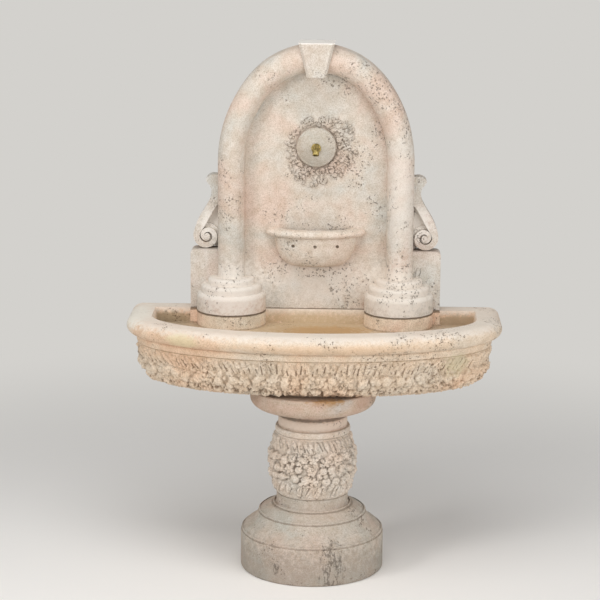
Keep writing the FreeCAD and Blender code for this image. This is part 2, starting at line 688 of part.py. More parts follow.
def scroll(side):
    """Console scroll: a ribbon that curls out at its tip and winds into a volute on the wing."""
    arch = ARCH_HALF_WIDTH
    outer = 2 * VOLUTE_RADIUS - VOLUTE_TUCK
    centre_x = arch + VOLUTE_RADIUS - VOLUTE_TUCK
    centre_z = WING_TOP_Z + VOLUTE_RADIUS - VOLUTE_SEAT
    y = WALL_Y - SCROLL_DEPTH

    def place(x, z):
        return Vector(side * x, y, z)

    def spiral(turn, inset):
        radius = VOLUTE_RADIUS - VOLUTE_PITCH * turn - inset
        angle = -2 * math.pi * turn
        return place(centre_x + radius * math.cos(angle), centre_z + radius * math.sin(angle))

    steps = int(12 * VOLUTE_TURNS)
    turns = [VOLUTE_TURNS * k / steps for k in range(steps + 1)]
    top = SCROLL_TOP_Z
    tip_z = top - SCROLL_TIP_DROP
    waist_z = top - SCROLL_WAIST_DROP
    fall = waist_z - centre_z
    crest = SCROLL_TIP_OUT - 7
    outside = [place(arch + 0.5 * crest, top + 1), place(arch + crest, top - 4),
               place(arch + SCROLL_TIP_OUT, tip_z), place(arch + crest, tip_z - 12),
               place(arch + SCROLL_WAIST_OUT, waist_z + 8), place(arch + SCROLL_WAIST_OUT, waist_z - 12),
               place(arch + 0.46 * outer, centre_z + 0.70 * fall), place(arch + 0.80 * outer, centre_z + 0.38 * fall),
               place(arch + 0.95 * outer, centre_z + 0.16 * fall)] + [spiral(t, 0) for t in turns]
    inside = [place(arch, centre_z + 0.72 * fall), place(arch + 0.15 * outer, centre_z + 0.62 * fall),
              place(arch + 0.46 * outer, centre_z + 0.31 * fall),
              place(arch + outer - 1.4 * VOLUTE_BAND, centre_z + 0.13 * fall)
              ] + [spiral(t, VOLUTE_BAND * (1 - 0.62 * t / VOLUTE_TURNS)) for t in turns]
    ribbon_wire = Part.Wire([line(place(arch, top), outside[0]), curve(outside),
                             line(outside[-1], inside[-1]), curve(inside[::-1]),
                             line(inside[0], place(arch, top))])
    ribbon = Part.Face(ribbon_wire).extrude(Vector(0, SCROLL_DEPTH, 0))
    eye_turn = VOLUTE_RADIUS - VOLUTE_PITCH * VOLUTE_TURNS
    eye = rod(eye_turn, SCROLL_DEPTH + 3, Vector(side * centre_x, y - 3, centre_z), Y_AXIS)
    web_y = WALL_Y - SCROLL_WEB_DEPTH
    web_wire = Part.makePolygon([Vector(side * (arch + px), web_y, pz) for px, pz in (
        (0, WING_TOP_Z), (0.84 * outer, WING_TOP_Z + VOLUTE_RADIUS - 10), (0.76 * outer, centre_z + 0.34 * fall),
        (0.24 * outer, centre_z + 0.78 * fall), (0, centre_z + 0.84 * fall), (0, WING_TOP_Z))])
    web = Part.Face(web_wire).extrude(Vector(0, SCROLL_WEB_DEPTH, 0))
    disc = rod(VOLUTE_RADIUS - 4, SCROLL_WEB_DEPTH + 6, Vector(side * centre_x, web_y - 6, centre_z), Y_AXIS)
    body = fused([ribbon, eye, web, disc])
    seat = box(-BASIN_DEPTH, BASIN_DEPTH, 0, WALL_Y + 1, WING_TOP_Z - VOLUTE_RADIUS, WING_TOP_Z)
    arch_side = box(-arch, arch, 0, WALL_Y + 1, WING_TOP_Z - 1, SCROLL_TOP_Z + VOLUTE_RADIUS)
    return body.cut(seat).cut(arch_side)


def shelf_plan(side_inset, reach_inset, z):
    """Plan of the spill bowl at one height, flat against the niche face."""
    a = SHELF_RIM_HALF - SHELF_OVERHANG - side_inset
    b = SHELF_REACH - SHELF_REACH_OVERHANG - reach_inset
    return half_ellipse_plan(a, b, FACE_Y, FACE_Y, z)


def shelf_bowl():
    """Half bowl with a roll rim and three drip holes through its front."""
    rim_bottom = SHELF_RIM_Z - SHELF_RIM_HEIGHT
    body = Part.makeLoft([shelf_plan(SHELF_BODY_INSET * (1 - s), SHELF_REACH_INSET * (1 - s),
                                     rim_bottom - SHELF_BODY_HEIGHT * c)
                          for s, c in quarter_turn(5)], True, False)
    angles = [math.radians(180 * k / 6) for k in range(7)]
    rim = Part.makeLoft([shelf_plan(-SHELF_OVERHANG * math.sin(t), -SHELF_REACH_OVERHANG * math.sin(t),
                                    rim_bottom + SHELF_RIM_HEIGHT * (1 - math.cos(t)) / 2)
                         for t in angles], True, False)
    hollow_bottom = rim_bottom - SHELF_BODY_HEIGHT + SHELF_FLOOR
    hollow = Part.makeLoft([shelf_plan(SHELF_WALL + SHELF_BODY_INSET * (1 - s) * 0.8,
                                       SHELF_WALL + SHELF_REACH_INSET * (1 - s) * 0.8,
                                       SHELF_RIM_Z - (SHELF_RIM_Z - hollow_bottom) * c)
                            for s, c in quarter_turn(4)], True, False)
    bowl = fused([body, rim]).cut(hollow)
    for k in (-1, 0, 1):
        bowl = bowl.cut(rod(DRIP_HOLE_RADIUS, SHELF_REACH + 1,
                            Vector(k * DRIP_HOLE_SPACING, FACE_Y - SHELF_REACH - 1, DRIP_HOLE_Z), Y_AXIS)
                        .cut(box(-SHELF_RIM_HALF, SHELF_RIM_HALF, FACE_Y - SHELF_WALL, FACE_Y,
                                 0, SHELF_RIM_Z)))
    return bowl


def spout_boss():
    """Domed disc round the spout."""
    centre = Vector(0, 0, SPOUT_Z)
    bore = SPOUT_RADIUS + MORTAR
    return turned_forward((bore, FACE_Y), [
        ((BOSS_RADIUS, FACE_Y),),
        ((BOSS_RADIUS, FACE_Y - 0.6 * BOSS_EDGE),),
        ((BOSS_RADIUS - 2, FACE_Y - 0.9 * BOSS_EDGE), (BOSS_RADIUS - 6, FACE_Y - BOSS_EDGE)),
        ((0.6 * BOSS_RADIUS, FACE_Y - 0.5 * (BOSS_EDGE + BOSS_DOME) - 2),
         (SPOUT_COLLAR_RADIUS, FACE_Y - BOSS_DOME)),
        ((bore, FACE_Y - BOSS_DOME),),
    ], centre)


def wreath_reach(turn):
    """How far the wreath's sprays reach at an angle from the right, fuller to the right and below."""
    spans = len(WREATH_REACH)
    place = (turn / (2 * math.pi) % 1) * spans
    low = int(place)
    share = place - low
    share = share * share * (3 - 2 * share)
    return WREATH_REACH[low] * (1 - share) + WREATH_REACH[(low + 1) % spans] * share


def foliage_wreath():
    """Ring of leaf sprays and small fruit round the boss, on a low bed."""
    def face(u, v):
        """Point of the niche face, from the spout's axis."""
        return Vector(u, FACE_Y, SPOUT_Z + v), -Y_AXIS

    centre, out = face(0, 0)
    forms = [pipe(WREATH_BED_RADIUS, WREATH_INNER, WREATH_BED, centre, out)]
    for k in range(WREATH_LEAVES):
        turn = 2 * math.pi * k / WREATH_LEAVES
        x, z = math.cos(turn), math.sin(turn)
        length = wreath_reach(turn) - WREATH_INNER
        slant = WREATH_SLANT * (-1) ** k
        forms.append(leaf(face, WREATH_INNER * x, WREATH_INNER * z, math.degrees(turn) + slant, length,
                          (0.8, 0.55)[k % 2]))
        if k % 3 == 0:
            middle = WREATH_INNER + 0.45 * length
            forms.append(fruit(face, middle * x, middle * z, 0.7 * SMALL_FRUIT_RADIUS, WREATH_RELIEF))
    room = pipe(2 * BOSS_RADIUS + WREATH_INNER, WREATH_INNER, 2 * WREATH_RELIEF, centre, out)
    return fused(forms).common(room)


def spout():
    """Brass spout: threaded shank through the panel, collar on the boss, mouth turned down."""
    front_y = FACE_Y - BOSS_DOME
    start = Vector(0, TUBE_Y - ELBOW_LEG + WASHER_THICKNESS, SPOUT_Z)
    bend_y = front_y - SPOUT_STRAIGHT
    droop = math.radians(SPOUT_DROOP)
    bend_centre = Vector(0, bend_y, SPOUT_Z - SPOUT_BEND)

    def on_bend(angle):
        return bend_centre + Vector(0, -SPOUT_BEND * math.sin(angle), SPOUT_BEND * math.cos(angle))

    mouth = on_bend(droop) + Vector(0, -math.cos(droop), -math.sin(droop)) * SPOUT_LIP
    path = Part.Wire([line(start, Vector(0, bend_y, SPOUT_Z)),
                      arc(Vector(0, bend_y, SPOUT_Z), on_bend(droop / 2), on_bend(droop)),
                      line(on_bend(droop), mouth)])

    def swept(radius):
        ring = Part.Wire(Part.makeCircle(radius, start, Y_AXIS))
        return path.makePipeShell([ring], True, False)

    collar = rod(SPOUT_COLLAR_RADIUS, SPOUT_COLLAR_THICKNESS,
                 Vector(0, front_y, SPOUT_Z), -Y_AXIS)
    return fused([swept(SPOUT_RADIUS), collar]).cut(swept(SPOUT_BORE))


def spout_washer():
    """Fibre washer between the panel and the elbow's collar."""
    face = WALL_Y - CHASE_DEPTH
    return pipe(ELBOW_RADIUS + 4, SPOUT_RADIUS + MORTAR, WASHER_THICKNESS, Vector(0, face, SPOUT_Z), Y_AXIS)


def barb(corner, direction):
    """Leg of an elbow with the thinner end that the tube is pushed on."""
    leg = rod(ELBOW_RADIUS, ELBOW_LEG, corner, direction)
    tip = rod(TUBE_BORE - BARB_CLEARANCE, ELBOW_LEG + BARB_LENGTH, corner, direction)
    return [leg, tip]


def upper_elbow():
    """Elbow behind the spout: screwed on its shank, with a barb down to the tube."""
    corner = RISER_END
    reach = TUBE_Y - (WALL_Y - CHASE_DEPTH) - WASHER_THICKNESS
    solid = fused([Part.makeSphere(ELBOW_RADIUS, corner), rod(ELBOW_RADIUS + 3, reach, corner, -Y_AXIS)]
                  + barb(corner, -RISER_DIRECTION))
    thread = rod(SPOUT_RADIUS, reach + 1, corner + Vector(0, -reach, 0), Y_AXIS)
    return solid.cut(thread.common(box(-50, 50, 0, TUBE_Y - ELBOW_LEG + 2 + WASHER_THICKNESS, 0, KEY_TOP_Z)))


def lower_elbow():
    """Elbow in the basin's chase, from the pump hose up to the tube."""
    corner = RISER_START
    solid = fused([Part.makeSphere(ELBOW_RADIUS, corner)] + barb(corner, -Y_AXIS) + barb(corner, RISER_DIRECTION))
    return solid


def riser_tube():
    """Clear tube in the chase, from elbow to elbow."""
    start = RISER_START + RISER_DIRECTION * ELBOW_LEG
    length = (RISER_END - RISER_START).Length - 2 * ELBOW_LEG
    return pipe(TUBE_RADIUS, TUBE_BORE, length, start, RISER_DIRECTION)


def pump_hose():
    """Short hose from the pump's outlet through the ledge to the lower elbow."""
    start_y = PUMP_Y + VOLUTE_COVER_RADIUS + 2
    length = TUBE_Y - ELBOW_LEG - start_y
    return pipe(TUBE_RADIUS, TUBE_BORE, length, Vector(HOSE_X, start_y, HOSE_Z), Y_AXIS)


def hose_grommet():
    """Rubber grommet that seals the hose in the ledge's front."""
    start = Vector(HOSE_X, LEDGE_FRONT_Y, HOSE_Z)
    neck = rod(GROMMET_BORE_RADIUS, GROMMET_LENGTH, start, Y_AXIS)
    lip = rod(GROMMET_FLANGE, GROMMET_LIP, start, -Y_AXIS)
    bore = rod(TUBE_RADIUS, GROMMET_LENGTH + 2 * GROMMET_LIP, start - Y_AXIS * (GROMMET_LIP + 1), Y_AXIS)
    return neck.fuse(lip).cut(bore)


def hose_clamps():
    """Two band clamps with their screw lugs, at the pump and at the lower elbow."""
    parts = []
    outer = TUBE_RADIUS + CLAMP_BAND
    hose_end = TUBE_Y - ELBOW_LEG
    for y in (PUMP_Y + VOLUTE_COVER_RADIUS + 5, hose_end - CLAMP_WIDTH - 4):
        band = rod(outer, CLAMP_WIDTH, Vector(HOSE_X, y, HOSE_Z), Y_AXIS)
        lug = box(HOSE_X - CLAMP_LUG / 2, HOSE_X + CLAMP_LUG / 2, y + 1, y + CLAMP_WIDTH - 1,
                  HOSE_Z + TUBE_RADIUS, HOSE_Z + outer + CLAMP_LUG / 2)
        bore = rod(TUBE_RADIUS, CLAMP_WIDTH + 2, Vector(HOSE_X, y - 1, HOSE_Z), Y_AXIS)
        parts.append(band.fuse(lug).cut(bore))
    return Part.makeCompound(parts)


def drain_flange():
    """Drain body: flange in the bowl and threaded tail through the floor."""
    top = DRAIN_TOP_Z
    seat = DRAIN_BORE_RADIUS
    bottom = BASIN_BOTTOM_Z - DRAIN_TAIL_BELOW
    return turned((seat, bottom), [
        ((DRAIN_TAIL_RADIUS, bottom),),
        ((DRAIN_TAIL_RADIUS, DRAIN_SEAT_Z),),
        ((DRAIN_FLANGE_RADIUS, DRAIN_SEAT_Z),),
        ((DRAIN_FLANGE_RADIUS, top - 2.5),),
        ((DRAIN_FLANGE_RADIUS - 3, top),),
        ((seat + 2, top),),
        ((seat, top - 2),),
    ], 0.0, DRAIN_Y)


def drain_gasket():
    """Rubber ring under the flange."""
    return pipe(DRAIN_FLANGE_RADIUS - 2, DRAIN_TAIL_RADIUS, GASKET_THICKNESS,
                Vector(0, DRAIN_Y, BOWL_FLOOR_Z), Z_AXIS)


def drain_locknut():
    """Hexagonal nut under the basin."""
    corners = [Vector(DRAIN_NUT_RADIUS * math.cos(math.radians(60 * k)),
                      DRAIN_Y + DRAIN_NUT_RADIUS * math.sin(math.radians(60 * k)),
                      BASIN_BOTTOM_Z - DRAIN_NUT_HEIGHT) for k in range(7)]
    nut = Part.Face(Part.makePolygon(corners)).extrude(Vector(0, 0, DRAIN_NUT_HEIGHT))
    return nut.cut(rod(DRAIN_TAIL_RADIUS, DRAIN_NUT_HEIGHT + 2,
                       Vector(0, DRAIN_Y, BASIN_BOTTOM_Z - DRAIN_NUT_HEIGHT - 1), Z_AXIS))


def drain_stopper():
    """Tapered rubber stopper with a moulded pull."""
    plug = DRAIN_BORE_RADIUS - STOPPER_CLEARANCE
    top = DRAIN_TOP_Z
    head = STOPPER_HEAD_RADIUS
    body = turned((0, top - STOPPER_DEPTH), [
        ((plug - 1.5, top - STOPPER_DEPTH),),
        ((plug, top),),
        ((head, top),),
        ((head, top + STOPPER_HEAD - 1),),
        ((head - 1, top + STOPPER_HEAD),),
        ((0, top + STOPPER_HEAD),),
    ], 0.0, DRAIN_Y)
    z = top + STOPPER_HEAD - 0.5
    lug = box(-STOPPER_LUG / 2, STOPPER_LUG / 2, DRAIN_Y - 2, DRAIN_Y + 2, z, z + STOPPER_LUG * 0.6)
    crest = rod(STOPPER_LUG / 2, 4, Vector(0, DRAIN_Y - 2, z + STOPPER_LUG * 0.6), Y_AXIS)
    eye = rod(STOPPER_LUG / 4, 6, Vector(0, DRAIN_Y - 3, z + STOPPER_LUG * 0.6), Y_AXIS)
    return fused([body, lug, crest]).cut(eye)


def pump_housing():
    """Potted motor block with the blind well in which the rotor turns."""
    x0, x1 = HOUSING_START_X, HOUSING_START_X + PUMP_LENGTH
    half_w, half_h = PUMP_WIDTH / 2, PUMP_HEIGHT / 2
    block = box(x0, x1, PUMP_Y - half_w, PUMP_Y + half_w, PUMP_Z - half_h, PUMP_Z + half_h)
    long_edges = [e for e in block.Edges if abs(e.Vertexes[0].X - e.Vertexes[1].X) > 1]
    back_edges = [e for e in block.Edges if all(abs(v.X - x1) < 0.01 for v in e.Vertexes)]
    block = block.makeFillet(PUMP_ROUND, long_edges + back_edges)
    well = rod(MAGNET_RADIUS + ROTOR_GAP, MAGNET_LENGTH + 4, Vector(x0 - 1, PUMP_Y, PUMP_Z), X_AXIS)
    seat = rod(BUSH_RADIUS, BUSH_LENGTH, Vector(x0 + MAGNET_LENGTH + 3, PUMP_Y, PUMP_Z), X_AXIS)
    return block.cut(well).cut(seat)


def volute_cover():
    """Round chamber over the impeller, with a tangential outlet towards the back."""
    x0, x1 = VOLUTE_START_X, HOUSING_START_X
    axis = Vector(x0, PUMP_Y, PUMP_Z)
    shell = rod(VOLUTE_COVER_RADIUS, x1 - x0, axis, X_AXIS)
    outlet = rod(TUBE_RADIUS + 1, VOLUTE_COVER_RADIUS + 1, Vector(HOSE_X, PUMP_Y, HOSE_Z), Y_AXIS)
    nipple = rod(TUBE_BORE - BARB_CLEARANCE, VOLUTE_COVER_RADIUS + BARB_LENGTH,
                 Vector(HOSE_X, PUMP_Y, HOSE_Z), Y_AXIS)
    chamber = rod(IMPELLER_RADIUS + 2, x1 - x0 - PUMP_WALL, axis + X_AXIS * PUMP_WALL, X_AXIS)
    inlet = rod(IMPELLER_RADIUS / 2, PUMP_WALL + 2, axis - X_AXIS, X_AXIS)
    bore = rod(TUBE_BORE - 2, VOLUTE_COVER_RADIUS + BARB_LENGTH + 1, Vector(HOSE_X, PUMP_Y, HOSE_Z), Y_AXIS)
    spider = box(x0, x0 + PUMP_WALL, PUMP_Y - 1, PUMP_Y + 1, PUMP_Z - IMPELLER_RADIUS / 2 - 1,
                 PUMP_Z + IMPELLER_RADIUS / 2 + 1)
    hub = rod(BUSH_RADIUS, PUMP_WALL, axis, X_AXIS)
    pin = rod(ROTOR_SHAFT_RADIUS, PUMP_WALL + 2, axis - X_AXIS, X_AXIS)
    body = fused([shell, outlet, nipple]).cut(chamber).cut(inlet).cut(bore)
    return fused([body, spider, hub]).cut(pin)


def pump_rotor():
    """Magnet and impeller in one moulding, on a through bore for the shaft."""
    x0 = VOLUTE_START_X + PUMP_WALL + 2
    centre = Vector(x0, PUMP_Y, PUMP_Z)
    plate_x = x0 + IMPELLER_THICKNESS - 2
    plate = rod(IMPELLER_RADIUS, 2, Vector(plate_x, PUMP_Y, PUMP_Z), X_AXIS)
    hub = rod(BUSH_RADIUS, IMPELLER_THICKNESS, centre, X_AXIS)
    magnet = rod(MAGNET_RADIUS, HOUSING_START_X + MAGNET_LENGTH - plate_x, Vector(plate_x, PUMP_Y, PUMP_Z), X_AXIS)
    blades = []
    for k in range(IMPELLER_BLADES):
        blade = box(x0, plate_x + 0.5, PUMP_Y - 0.8, PUMP_Y + 0.8, PUMP_Z + BUSH_RADIUS - 1,
                    PUMP_Z + IMPELLER_RADIUS)
        blade.rotate(Vector(x0, PUMP_Y, PUMP_Z + BUSH_RADIUS), X_AXIS, 18)
        blade = blade.common(rod(IMPELLER_RADIUS, IMPELLER_THICKNESS, centre, X_AXIS))
        blade.rotate(centre, X_AXIS, 360.0 * k / IMPELLER_BLADES)
        blades.append(blade)
    bore = rod(ROTOR_SHAFT_RADIUS + ROTOR_FIT, PUMP_LENGTH, centre - X_AXIS, X_AXIS)
    return fused([magnet, plate, hub] + blades).cut(bore)


def rotor_shaft():
    """Ceramic shaft held in the cover's spider and in the rear bush."""
    end_x = HOUSING_START_X + MAGNET_LENGTH + 3 + BUSH_LENGTH
    return rod(ROTOR_SHAFT_RADIUS, end_x - VOLUTE_START_X, Vector(VOLUTE_START_X, PUMP_Y, PUMP_Z), X_AXIS)


def rear_bush():
    """Rubber bush at the bottom of the rotor well."""
    return pipe(BUSH_RADIUS, ROTOR_SHAFT_RADIUS, BUSH_LENGTH,
                Vector(HOUSING_START_X + MAGNET_LENGTH + 3, PUMP_Y, PUMP_Z), X_AXIS)


def inlet_cover():
    """Slotted inlet screen that pulls off the volute cover, with a hub for the flow dial."""
    x0, x1 = INLET_START_X, VOLUTE_START_X
    radius = VOLUTE_COVER_RADIUS
    cup = rod(radius, x1 - x0, Vector(x0, PUMP_Y, PUMP_Z), X_AXIS)
    inside = rod(radius - PUMP_WALL, x1 - x0 - PUMP_WALL, Vector(x0 + PUMP_WALL, PUMP_Y, PUMP_Z), X_AXIS)
    cup = cup.cut(inside)
    for k in range(INLET_SLOTS):
        angle = math.radians(180 + 180.0 * (k + 0.5) / INLET_SLOTS)
        slot = box(x0 + 2 * PUMP_WALL, x1 - PUMP_WALL, -INLET_SLOT_WIDTH / 2, INLET_SLOT_WIDTH / 2, 0, radius + 1)
        slot.rotate(Vector(0, 0, 0), X_AXIS, math.degrees(angle))
        slot.translate(Vector(0, PUMP_Y, PUMP_Z))
        cup = cup.cut(slot)
    pivot = rod(BUSH_RADIUS / 2 + 1, PUMP_WALL + 2, Vector(x0 - 1, PUMP_Y, PUMP_Z), X_AXIS)
    return cup.cut(pivot)


def flow_dial():
    """Dial on the inlet screen that opens and closes the intake."""
    x = INLET_START_X - DIAL_GAP
    knob = rod(DIAL_RADIUS, DIAL_THICKNESS, Vector(x, PUMP_Y, PUMP_Z), -X_AXIS)
    grip = box(x - DIAL_THICKNESS - 4, x - DIAL_THICKNESS, PUMP_Y - 1.5, PUMP_Y + 1.5,
               PUMP_Z - DIAL_RADIUS + 1, PUMP_Z + DIAL_RADIUS - 1)
    stem = rod(BUSH_RADIUS / 2 + 1 - ROTOR_FIT, PUMP_WALL + DIAL_GAP, Vector(x, PUMP_Y, PUMP_Z), X_AXIS)
    head = rod(BUSH_RADIUS, 1.5, Vector(INLET_START_X + PUMP_WALL + DIAL_GAP, PUMP_Y, PUMP_Z), X_AXIS)
    neck = rod(BUSH_RADIUS / 2 + 1 - ROTOR_FIT, 2 * DIAL_GAP,
               Vector(INLET_START_X + PUMP_WALL - DIAL_GAP, PUMP_Y, PUMP_Z), X_AXIS)
    return fused([knob, grip, stem, neck, head])


def suction_cups():
    """Four rubber feet under the housing."""
    cups = []
    for dx in (0.22, 0.78):
        for side in (-1, 1):
            x = HOUSING_START_X + dx * PUMP_LENGTH
            y = PUMP_Y + side * (PUMP_WIDTH / 2 - CUP_RADIUS)
            wire_start = (0, BOWL_FLOOR_Z)
            cups.append(turned(wire_start, [
                ((CUP_RADIUS, BOWL_FLOOR_Z),),
                ((CUP_RADIUS, BOWL_FLOOR_Z + 1),),
                ((CUP_STEM, BOWL_FLOOR_Z + CUP_HEIGHT - 1.5),),
                ((CUP_STEM, BOWL_FLOOR_Z + CUP_HEIGHT),),
                ((0, BOWL_FLOOR_Z + CUP_HEIGHT),),
            ], x, y))
    return Part.makeCompound(cups)


def cord_gland():
    """Strain relief on the back of the motor block."""
    start = Vector(HOUSING_START_X + PUMP_LENGTH, PUMP_Y, PUMP_Z + PUMP_HEIGHT / 4)
    nut = rod(GLAND_RADIUS, GLAND_LENGTH / 2, start, X_AXIS)
    cone = Part.makeCone(GLAND_RADIUS * 0.8, GLAND_RADIUS * 0.55, GLAND_LENGTH / 2,
                         start + X_AXIS * (GLAND_LENGTH / 2), X_AXIS)
    return nut.fuse(cone)


def hanger_pocket(side):
    """Stepped pocket in the panel's back: a seat for the plate and room for a screw head."""
    x = side * HANGER_X
    half_w, half_h = HANGER_WIDTH / 2 + MORTAR, HANGER_HEIGHT / 2 + MORTAR
    seat = box(x - half_w, x + half_w, WALL_Y - HANGER_THICKNESS, WALL_Y + 1, HANGER_Z - half_h, HANGER_Z + half_h)
    room = box(x - HANGER_HOLE_RADIUS - 4, x + HANGER_HOLE_RADIUS + 4, WALL_Y - HANGER_POCKET, WALL_Y,
               HANGER_Z - HANGER_HOLE_RADIUS - 4, HANGER_Z + HANGER_SLOT_RISE)
    pocket = seat.fuse(room)
    for dx in (-0.5, 0.5):
        pocket = pocket.fuse(rod(SCREW_RADIUS, SCREW_LENGTH, Vector(x + dx * SCREW_SPACING, WALL_Y, HANGER_Z), -Y_AXIS))
    return pocket


def hanger_plates():
    """Two steel keyhole plates let into the back of the panel."""
    plates = []
    for side in (-1, 1):
        x = side * HANGER_X
        y = WALL_Y - HANGER_THICKNESS
        plate = box(x - HANGER_WIDTH / 2, x + HANGER_WIDTH / 2, y, WALL_Y,
                    HANGER_Z - HANGER_HEIGHT / 2, HANGER_Z + HANGER_HEIGHT / 2)
        hole = rod(HANGER_HOLE_RADIUS, HANGER_THICKNESS + 2, Vector(x, y - 1, HANGER_Z), Y_AXIS)
        slot = box(x - HANGER_SLOT_RADIUS, x + HANGER_SLOT_RADIUS, y - 1, WALL_Y + 1,
                   HANGER_Z, HANGER_Z + HANGER_SLOT_RISE)
        top = rod(HANGER_SLOT_RADIUS, HANGER_THICKNESS + 2, Vector(x, y - 1, HANGER_Z + HANGER_SLOT_RISE), Y_AXIS)
        plate = plate.cut(hole).cut(slot).cut(top)
        for dx in (-0.5, 0.5):
            at = Vector(x + dx * SCREW_SPACING, WALL_Y, HANGER_Z)
            sink = Part.makeCone(SCREW_HEAD_RADIUS, SCREW_RADIUS, HANGER_THICKNESS, at, -Y_AXIS)
            plate = plate.cut(sink)
        plates.append(plate)
    return Part.makeCompound(plates)


def hanger_screws():
    """Countersunk screws that hold the keyhole plates."""
    screws = []
    for side in (-1, 1):
        for dx in (-0.5, 0.5):
            at = Vector(side * HANGER_X + dx * SCREW_SPACING, WALL_Y, HANGER_Z)
            head = Part.makeCone(SCREW_HEAD_RADIUS, SCREW_RADIUS, HANGER_THICKNESS, at, -Y_AXIS)
            screws.append(head.fuse(rod(SCREW_RADIUS, SCREW_LENGTH, at, -Y_AXIS)))
    return Part.makeCompound(screws)


NODES = {
    "pedestal_foot": pedestal_foot,
    "pedestal_shaft": pedestal_shaft,
    "shaft_foliage": shaft_foliage,
    "pedestal_cap": pedestal_cap,
    "basin": basin,
    "basin_foliage": basin_foliage,
    "riser_left": lambda: riser(-1),
    "riser_right": lambda: riser(1),
    "back_panel": back_panel,
    "keystone": keystone,
    "wing_left": lambda: wing(-1),
    "wing_right": lambda: wing(1),
    "scroll_left": lambda: scroll(-1),
    "scroll_right": lambda: scroll(1),
    "shelf_bowl": shelf_bowl,
    "spout_boss": spout_boss,
    "foliage_wreath": foliage_wreath,
    "spout": spout,
    "spout_washer": spout_washer,
    "upper_elbow": upper_elbow,
    "lower_elbow": lower_elbow,
    "riser_tube": riser_tube,
    "pump_hose": pump_hose,
    "hose_grommet": hose_grommet,
    "hose_clamps": hose_clamps,
    "drain_flange": drain_flange,
    "drain_gasket": drain_gasket,
    "drain_locknut": drain_locknut,
    "drain_stopper": drain_stopper,
    "pump_housing": pump_housing,
    "volute_cover": volute_cover,
    "pump_rotor": pump_rotor,
    "rotor_shaft": rotor_shaft,
    "rear_bush": rear_bush,
    "inlet_cover": inlet_cover,
    "flow_dial": flow_dial,
    "suction_cups": suction_cups,
    "cord_gland": cord_gland,
    "hanger_plates": hanger_plates,
    "hanger_screws": hanger_screws,
}

os.makedirs("parts", exist_ok=True)
for name, make in NODES.items():
    shape = without_seams(make())
    print(f"{name}: {len(shape.Solids)} solid, {shape.Volume / 1000:.1f} cm3, valid {shape.isValid()}")
    shape.exportStep(f"parts/{name}.step")
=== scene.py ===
"""Garden wall fountain in cast stone with a travertine finish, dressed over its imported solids."""
import math

import bpy
import numpy as np
from mathutils import Matrix, Vector


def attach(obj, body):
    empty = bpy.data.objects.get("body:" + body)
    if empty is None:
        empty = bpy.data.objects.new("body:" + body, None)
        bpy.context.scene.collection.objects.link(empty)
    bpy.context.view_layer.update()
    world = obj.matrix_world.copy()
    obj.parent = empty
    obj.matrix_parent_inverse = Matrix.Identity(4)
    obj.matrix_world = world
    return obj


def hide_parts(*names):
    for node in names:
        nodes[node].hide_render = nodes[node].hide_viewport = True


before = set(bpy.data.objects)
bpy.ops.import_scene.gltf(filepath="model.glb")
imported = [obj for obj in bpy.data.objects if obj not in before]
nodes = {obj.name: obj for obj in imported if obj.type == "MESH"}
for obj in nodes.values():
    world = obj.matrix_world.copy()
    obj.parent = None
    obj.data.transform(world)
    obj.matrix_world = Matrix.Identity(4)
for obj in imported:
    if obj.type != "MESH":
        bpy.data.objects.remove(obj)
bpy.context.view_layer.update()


# Pedestal foot: a drum with a moulded shoulder, one casting in stone dust and white cement.
# It is poured in a mould, taken out green and washed, which opens small pits as in travertine,
# and a thin wash of iron and ochre stays in them. It stands flat on the ground, and painted shade darkens it
# toward its foot.
def linear(code):
    """Linear colour with alpha from an sRGB hex code."""
    parts = [int(code[k:k + 2], 16) / 255 for k in (1, 3, 5)]
    return [c / 12.92 if c <= 0.04045 else ((c + 0.055) / 1.055) ** 2.4 for c in parts] + [1.0]


def add(tree, kind, settings=None, links=None):
    """One node with its settings, and what feeds its inputs.

    A number stands for an input's place: a Mix node takes its factor at 0 and its two colours at 6 and 7.
    """
    node = tree.nodes.new("ShaderNode" + kind)
    for key, value in (settings or {}).items():
        if key == "stops":
            ramp = node.color_ramp
            while len(ramp.elements) < len(value):
                ramp.elements.new(0.5)
            for element, (place, colour) in zip(ramp.elements, value):
                element.position = place
                element.color = colour
        elif isinstance(key, int) or key in node.inputs:
            node.inputs[key].default_value = value
        else:
            setattr(node, key, value)
    for key, source in (links or {}).items():
        tree.links.new(source, node.inputs[key])
    return node


def blank(name):
    """New material, with its tree, its shader and the place on the piece in metres."""
    material = bpy.data.materials.new(name)
    material.use_nodes = True
    tree = material.node_tree
    place = add(tree, "TexCoord").outputs["Object"]
    return material, tree, tree.nodes["Principled BSDF"], place


